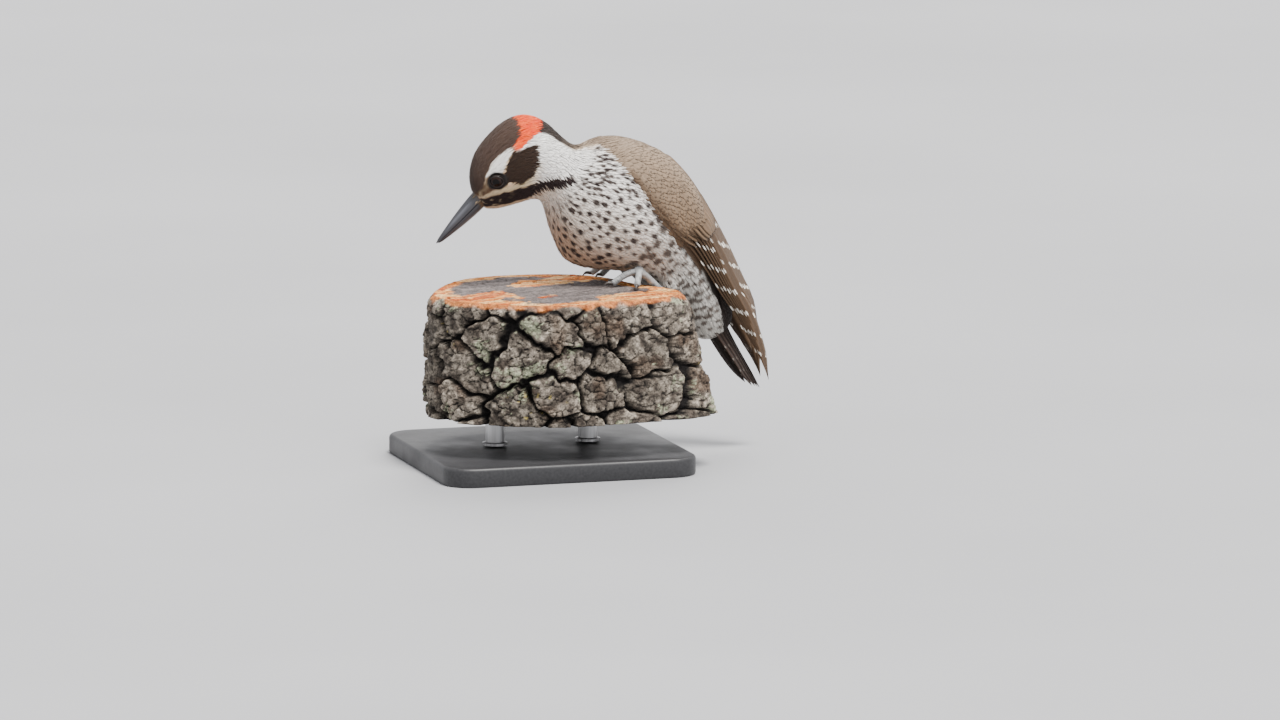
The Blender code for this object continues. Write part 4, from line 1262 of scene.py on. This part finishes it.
def log_colours(points, marks):
    """Orange and grey on the sawn top, red-brown under the rim, then grey bark; the cracks and furrows are
    painted dark as their shade.
    """
    place, furrow, number = marks.T
    flat = (points - (*LOG_CENTRE, 0)) * (1, 1, 0)
    bend = 3.5 * noise(flat, 16, 54) + 1.2 * noise(flat, 5, 55)
    saw = xyz(flat[:, 0] + 0.25 * flat[:, 1] + bend, 0.10 * flat[:, 1], 0.0)
    stain = 0.9 * smoothstep(0.15, 0.6, noise(saw, 3.4, 52) + 0.4 * noise(flat, 1.2, 50))
    orange = mix(srgb(232, 138, 62), srgb(253, 206, 140), smoothstep(-0.5, 0.6, noise(saw, 1.3, 51)))
    orange = mix(orange, srgb(190, 84, 34), stain)
    grey = mix(srgb(92, 84, 84), srgb(142, 132, 128), 0.5 + 0.5 * noise(saw, 0.9, 53))
    blot = noise(saw * (0.8, 5.0, 1), 13, 56) + 0.3 * noise(flat, 5, 65) + 0.15 * noise(flat, 1.5, 66)
    blot = smoothstep(-0.02, 0.06, blot + 0.1) * smoothstep(0.90, 0.84, place + 0.06 * noise(flat, 6, 67))
    # Painted shade in the sawn top's cracks.
    top = mix(mix(orange, grey, blot), srgb(60, 36, 28), 0.8 * furrow)
    bark = mix(srgb(88, 79, 71), srgb(184, 172, 156), smoothstep(-0.6, 0.8, noise(points, 2.6, 57)))
    bark = mix(bark, srgb(104, 84, 68), 0.6 * smoothstep(0.1, 0.6, noise(points, 9, 58)))
    bark = bark * (1 + 0.22 * number)[:, None]
    crust = noise(points, 9, 59) + 0.45 * noise(points, 1.4, 60) + 0.35 * noise(points, 0.6, 68)
    yellow = smoothstep(0.66, 0.74, noise(points, 2.2, 63)) * smoothstep(0.3, 0.6, noise(points, 14, 64))
    rust = mix(srgb(150, 76, 40), srgb(236, 152, 84), 0.5 + 0.5 * noise(points, 1.5, 62))
    bark = mix(bark, srgb(186, 192, 160), 0.8 * smoothstep(0.54, 0.70, crust))
    bark = mix(bark, srgb(186, 166, 84), 0.8 * yellow)
    # Painted shade: the bark's furrows and cracks nearly black.
    bark = mix(bark, srgb(22, 18, 17), smoothstep(0.15, 0.8, furrow))
    bark = mix(bark, rust, smoothstep(2.6, 1.2, place - 1 + 2.2 * noise(points, 5, 61)))
    return np.where((place > 1)[:, None], bark, top)


# ---------------------------------------------------------------- stand
BASE_CORNER, BASE_EDGE = 12.0, 1.5  # radii of the base's corners and of its upper edge
QUARTERS = ((1, 1), (-1, 1), (-1, -1), (1, -1))
COLLAR = [(0, 1.0), (0.4, 1.3), (1.4, 1.3), (1.8, 1.0)]  # heights, and radii in rods' radii
CREASE = math.radians(35)


def add_base(finish):
    """The flat base: a rounded rectangle with soft upper and lower edges."""
    low, high = (corner - ORIGIN for corner in node_box("stand_base"))
    size, top = high - low, high[2] - low[2]
    edge = [(top - BASE_EDGE + BASE_EDGE * math.sin(a), BASE_EDGE - BASE_EDGE * math.cos(a))
            for a in np.linspace(0, math.pi / 2, 6)]
    rows = []
    for height, inset in [(0.0, 0.8), (0.25, 0.25), (0.8, 0.0), *edge, (top, 6.0), (top, 30.0)]:
        corner = max(0.5, BASE_CORNER - inset)
        ring = []
        for quarter, signs in enumerate(QUARTERS):
            centre = (low[:2] + high[:2]) / 2 + signs * (size[:2] / 2 - inset - corner)
            for a in np.linspace(quarter, quarter + 1, 14) * math.pi / 2:
                ring.append((*(centre + corner * np.array([math.cos(a), math.sin(a)])), low[2] + height))
        rows.append(ring)
    obj = add_piece("base", *skinned(rows), finish, "stand_paint", ["stand_base"])
    obj.data.set_sharp_from_angle(angle=CREASE)


def add_rods(finish):
    """The two rods, each with a small turned collar where it meets the base and the log."""
    turns = circle(48)
    for name in ("front", "back"):
        low, high = (corner - ORIGIN for corner in node_box(f"stand_rod_{name}"))
        (x, y), radius, tall = (low + high)[:2] / 2, (high - low)[0] / 2, high[2] - low[2]
        profile = COLLAR + [(tall - height, share) for height, share in reversed(COLLAR)]
        rows = [xyz(x + radius * share * np.cos(turns), y + radius * share * np.sin(turns), low[2] + height)
                for height, share in profile]
        obj = add_piece(f"rod_{name}", *skinned(rows), finish, "stand_metal", [f"stand_rod_{name}"])
        obj.data.set_sharp_from_angle(angle=CREASE)


# ---------------------------------------------------------------- materials
class Finish:
    """A Principled material whose node tree is built by short calls."""

    def __init__(self, name, roughness, **sockets):
        self.material = bpy.data.materials.new(name)
        self.material.use_nodes = True
        self.tree = self.material.node_tree
        self.shader = self.tree.nodes["Principled BSDF"]
        self.shader.inputs["Roughness"].default_value = roughness
        for socket, value in sockets.items():
            self.shader.inputs[socket.replace("_", " ")].default_value = value

    def feed(self, socket, value):
        """Links a socket to the value, or sets it where the value is a constant."""
        if isinstance(value, bpy.types.NodeSocket):
            self.tree.links.new(value, socket)
        else:
            socket.default_value = value

    def node(self, kind, settings=None, **inputs):
        """A node; each input is a socket to link or a plain value, by name or as in0, in1, ..."""
        made = self.tree.nodes.new(f"ShaderNode{kind}")
        for key, value in (settings or {}).items():
            setattr(made, key, value)
        for key, value in inputs.items():
            self.feed(made.inputs[int(key[2:]) if key[:2] == "in" else key], value)
        return made

    def math(self, operation, first, second=0.0):
        return self.node("Math", {"operation": operation}, in0=first, in1=second).outputs[0]

    def attribute(self, name, output="Color"):
        return self.node("Attribute", {"attribute_name": name}).outputs[output]

    def parts(self, name):
        """The X, Y and Z of a vector attribute."""
        return self.node("SeparateXYZ", None, Vector=self.attribute(name, "Vector")).outputs

    def place(self):
        return self.node("TexCoord").outputs["Object"]

    def noise(self, scale, detail, stretch=None):
        place = self.place()
        if stretch:
            place = self.node("Mapping", None, Vector=place, Scale=stretch).outputs[0]
        return self.node("TexNoise", None, Vector=place, Scale=scale, Detail=detail).outputs["Fac"]

    def ramp(self, factor, *stops):
        """A grey or coloured ramp through (place, value) stops."""
        made = self.node("ValToRGB", None, Fac=factor)
        elements = made.color_ramp.elements
        while len(elements) < len(stops):
            elements.new(0.5)
        for element, (place, value) in zip(elements, stops):
            element.position = place
            element.color = (*np.broadcast_to(value, 3), 1)
        return made.outputs["Color"]

    def blend(self, first, second, factor, mode="MIX"):
        made = self.node("Mix", {"data_type": "RGBA", "blend_type": mode}, in0=factor)
        for socket, value in ((made.inputs[6], first), (made.inputs[7], second)):
            self.feed(socket, value if isinstance(value, bpy.types.NodeSocket) else (*value, 1))
        return made.outputs[2]

    def shade(self, colour, by, factor):
        return self.blend(colour, by, factor, "MULTIPLY")

    def bump(self, height, distance, strength, onto=None):
        made = self.node("Bump", None, Height=height, Distance=distance * 0.001, Strength=strength)
        if onto is not None:
            self.tree.links.new(onto, made.inputs["Normal"])
        return made.outputs["Normal"]

    def set(self, **links):
        for socket, value in links.items():
            self.tree.links.new(value, self.shader.inputs[socket.replace("_", " ")])
        return self.material


def spot_mask(finish):
    """1 in the ragged round spots at a vane's edges, one to each row, and 0 between them."""
    row, across, strength = finish.parts("spot")
    along = finish.math("ABSOLUTE", finish.math("SUBTRACT", finish.math("FRACT", row), 0.5))
    across = finish.math("SUBTRACT", finish.math("ABSOLUTE", across), 0.70)
    along, across = (finish.math("POWER", finish.math("DIVIDE", value, reach), 2.0)
                     for value, reach in ((along, 0.19), (across, 0.34)))
    square = finish.math("ADD", along, across)
    ragged = finish.math("ADD", square, finish.math("MULTIPLY", finish.noise(1300, 2), 1.1))
    return finish.math("MULTIPLY", finish.ramp(ragged, (0.75, 1.0), (1.0, 0.0)), strength)


def plumage(name, roughness, pitch, spotted):
    """Feathers with fine ribs, pitch millimetres apart, that slant forward from the shaft."""
    finish = Finish(name, roughness, Specular_IOR_Level=0.15, Sheen_Weight=0.05, Sheen_Roughness=0.5)
    colour = finish.attribute("tint")
    colour = finish.shade(colour, finish.ramp(finish.noise(1500, 4), (0.3, 0.80), (0.7, 1.0)), 0.7)
    along, across, _ = finish.parts("vane")
    slant = finish.math("SUBTRACT", along, finish.math("ABSOLUTE", across))
    ribs = finish.math("SINE", finish.math("MULTIPLY", slant, math.tau / pitch))
    colour = finish.shade(colour, finish.ramp(ribs, (0.0, 0.86), (0.8, 1.0)), 0.5)
    if spotted:
        colour = finish.blend(colour, QUILL_SPOT, spot_mask(finish))
    normal = finish.bump(ribs, 0.06 * pitch, 0.5, finish.bump(finish.noise(2600, 2), 0.05, 0.4))
    rough = finish.ramp(finish.noise(900, 2), (0.3, roughness - 0.08), (0.7, roughness + 0.1))
    return finish.set(Base_Color=colour, Normal=normal, Roughness=rough)


def skin_finish():
    finish = Finish("skin", 0.6, Specular_IOR_Level=0.3)
    colour = finish.attribute("tint")
    colour = finish.shade(colour, finish.ramp(finish.noise(1800, 4), (0.3, 0.7), (0.7, 1.0)), 0.8)
    cells = finish.node("TexVoronoi", None, Vector=finish.place(), Scale=2200.0).outputs["Distance"]
    return finish.set(Base_Color=colour, Normal=finish.bump(cells, 0.08, 0.7))


def bill_finish():
    """Horn with streaks and growth lines down its length."""
    finish = Finish("bill_horn", 0.34, Specular_IOR_Level=0.5)
    streaks = finish.noise(700, 5, (1.0, 0.25, 0.25))
    colour = finish.shade(finish.attribute("tint"), finish.ramp(streaks, (0.3, 0.62), (0.7, 1.0)), 0.8)
    growth = finish.math("SINE", finish.math("MULTIPLY", finish.parts("vane")["X"], 17.0))
    normal = finish.bump(growth, 0.004, 0.12, finish.bump(streaks, 0.06, 0.5))
    rough = finish.ramp(finish.noise(1100, 3), (0.3, 0.27), (0.7, 0.46))
    return finish.set(Base_Color=colour, Normal=normal, Roughness=rough)


def claw_finish():
    finish = Finish("claw_horn", 0.32, Specular_IOR_Level=0.5)
    colour = finish.ramp(finish.noise(1400, 4), (0.3, srgb(46, 42, 40)), (0.75, srgb(92, 86, 82)))
    return finish.set(Base_Color=colour, Normal=finish.bump(finish.noise(2500, 3), 0.03, 0.4))


def eye_finish():
    """A nearly black pupil in a dark brown iris, under a faint clear coat."""
    finish = Finish("eye", 0.06, Specular_IOR_Level=0.1, Coat_Weight=0.05, Coat_Roughness=0.02)
    x, y, _ = finish.parts("vane")
    square = finish.math("ADD", finish.math("POWER", x, 2.0), finish.math("POWER", y, 2.0))
    away = finish.math("SQRT", square)
    ring = finish.math("ADD", away, finish.math("MULTIPLY", finish.noise(3500, 3), 0.10))
    pupil, iris, rim = (0.004, 0.003, 0.003), srgb(30, 18, 14), srgb(16, 11, 10)
    return finish.set(Base_Color=finish.ramp(ring, (0.50, pupil), (0.54, iris), (0.70, iris), (0.78, rim)))


def foot_finish():
    """Scaly skin with dark creases."""
    finish = Finish("foot_skin", 0.55, Specular_IOR_Level=0.4)
    edges = {"feature": "DISTANCE_TO_EDGE"}
    cells = finish.node("TexVoronoi", edges, Vector=finish.place(), Scale=1700.0).outputs["Distance"]
    creases = finish.ramp(cells, (0.0, 0.45), (0.12, 1.0))
    colour = finish.shade(finish.attribute("tint"), creases, 0.8)
    normal = finish.bump(creases, 0.08, 0.8, finish.bump(finish.noise(3000, 3), 0.03, 0.5))
    return finish.set(Base_Color=colour, Normal=normal)


def log_finish():
    """Sawn wood and bark, where only the bark is crackled."""
    finish = Finish("log_wood", 0.85, Specular_IOR_Level=0.2)
    coarse = finish.ramp(finish.noise(600, 8), (0.36, 0.38), (0.62, 1.0))
    colour = finish.shade(finish.attribute("tint"), coarse, 0.8)
    colour = finish.shade(colour, finish.ramp(finish.noise(1500, 6), (0.40, 0.45), (0.58, 1.0)), 0.7)
    crackle = finish.ramp(finish.noise(330, 7), (0.455, 1.0), (0.49, 0.25), (0.525, 1.0))
    crackle = finish.blend((1.0, 1.0, 1.0), crackle, finish.parts("vane")["X"])
    colour = finish.shade(colour, crackle, 0.55)
    normal = finish.bump(finish.noise(500, 12), 1.6, 0.9, finish.bump(crackle, 0.35, 0.8))
    return finish.set(Base_Color=colour, Normal=normal)


def paint_finish():
    finish = Finish("stand_paint", 0.42, Specular_IOR_Level=0.45)
    speckle = finish.noise(900, 6)
    colour = finish.ramp(speckle, (0.3, srgb(34, 34, 36)), (0.7, srgb(48, 48, 50)))
    rough = finish.ramp(finish.noise(60, 5), (0.3, 0.36), (0.7, 0.52))
    return finish.set(Base_Color=colour, Roughness=rough, Normal=finish.bump(speckle, 0.03, 0.5))


def metal_finish():
    finish = Finish("stand_metal", 0.32, Metallic=1.0)
    brushed = finish.noise(900, 4, (1.0, 1.0, 0.03))
    colour = finish.ramp(brushed, (0.3, srgb(168, 168, 170)), (0.7, srgb(204, 204, 204)))
    rough = finish.ramp(brushed, (0.3, 0.24), (0.7, 0.42))
    return finish.set(Base_Color=colour, Roughness=rough, Normal=finish.bump(brushed, 0.01, 0.3))


def floor_finish():
    """A grey that comes out as bright as the backdrop under these lamps, so that no edge shows."""
    finish = Finish("floor", 0.7)
    colour = finish.ramp(finish.noise(3, 3), (0.3, srgb(148, 149, 152)), (0.7, srgb(155, 156, 159)))
    return finish.set(Base_Color=colour)


# ---------------------------------------------------------------- floor, lights and camera
VIEW_AZIMUTH, VIEW_HEIGHT = math.radians(73), math.radians(9)
VIEW_WIDTH = 533.0  # of what the picture takes in at the bird, in millimetres
LENS, SENSOR = 250.0, 36.0
IMAGE_CENTRE = np.array([5.0, -1.5, -32.9])
FLOOR_REACH = 30000.0
# The lamps: where each shines from, how strongly, how wide it is in the sky, and its colour.
LAMPS = {
    "key": ((0.8, 0.3, 2.2), 7.0, 0.35, (1.0, 0.97, 0.93)),
    "fill": ((2.0, 1.3, 0.8), 0.6, 0.8, (0.95, 0.97, 1.0)),
    "back": ((-1.4, 0.9, 1.8), 2.0, 0.5, (1.0, 0.98, 0.95)),
}
BACKDROP, BACKDROP_STRENGTH = (0.98, 0.98, 1.0, 1), 1.2


def add_floor(finish):
    corners = [(x * FLOOR_REACH, y * FLOOR_REACH, FLOOR) for x, y in ((-1, -1), (1, -1), (1, 1), (-1, 1))]
    add_piece("floor", np.array(corners), [(0, 1, 2, 3)], finish)


def add_lights():
    """Broad soft lamps, so far off that they light the whole floor alike, and a pale backdrop."""
    for name, (place, strength, width, colour) in LAMPS.items():
        light = bpy.data.lights.new(name, "SUN")
        light.energy, light.angle, light.color = strength, width, colour
        obj = bpy.data.objects.new(name, light)
        obj.rotation_euler = Vector(place).to_track_quat("Z", "Y").to_euler()
        bpy.context.scene.collection.objects.link(obj)
    world = bpy.data.worlds.new("studio")
    world.use_nodes = True
    backdrop = world.node_tree.nodes["Background"].inputs
    backdrop["Color"].default_value = BACKDROP
    backdrop["Strength"].default_value = BACKDROP_STRENGTH
    bpy.context.scene.world = world


def add_camera():
    """The photo's view: its direction and width at the bird."""
    lens = bpy.data.cameras.new("camera")
    lens.lens, lens.sensor_width = LENS, SENSOR
    lens.clip_end = 200
    camera = bpy.data.objects.new("camera", lens)
    level = math.cos(VIEW_HEIGHT)
    direction = np.array([
        math.sin(VIEW_AZIMUTH) * level,
        -math.cos(VIEW_AZIMUTH) * level,
        math.sin(VIEW_HEIGHT),
    ])
    target = (IMAGE_CENTRE + ORIGIN) * 0.001
    camera.location = target + direction * VIEW_WIDTH * 0.001 * LENS / SENSOR
    camera.rotation_euler = Vector(direction).to_track_quat("Z", "Y").to_euler()
    bpy.context.scene.collection.objects.link(camera)
    bpy.context.scene.camera = camera


# ---------------------------------------------------------------- everything together
SKIN = body_surface()
EYE_AXIS = SKIN.facing(EYE, near=5.0, far=8.5)
SEED = 20


def main():
    add_camera()
    add_lights()
    add_floor(floor_finish())
    rng = np.random.default_rng(SEED)
    spots = Spots(SKIN, rng)
    coat = plumage("plumage", roughness=0.72, pitch=0.11, spotted=False)
    quill = plumage("quills", roughness=0.55, pitch=0.30, spotted=True)
    add_skin(SKIN, spots, skin_finish())
    make_coat(SKIN, spots, coat, rng)
    for name, side in SIDES:
        add_quills(f"remiges_{name}", wing_quills(), side, (-0.60, -0.20), quill, rng, [f"wing_{name}"])
        add_quills(f"coverts_{name}", wing_coverts(), side, (-0.18, -0.04), quill, rng)
    add_tail(quill, rng)
    bill = bill_finish()
    add_bill_half("bill_horn_upper", "bill_upper", 1, (3.1, 3.1), BILL_LENGTH, bill)
    add_bill_half("bill_horn_lower", "bill_lower", -1, (2.9, 2.8), BILL_LENGTH - 0.8, bill)
    add_bristles(coat, rng)
    add_eyes(eye_finish())
    foot, claw = foot_finish(), claw_finish()
    for name, side in SIDES:
        add_foot(name, side, foot, claw)
    add_log(log_finish())
    add_base(paint_finish())
    add_rods(metal_finish())


main()
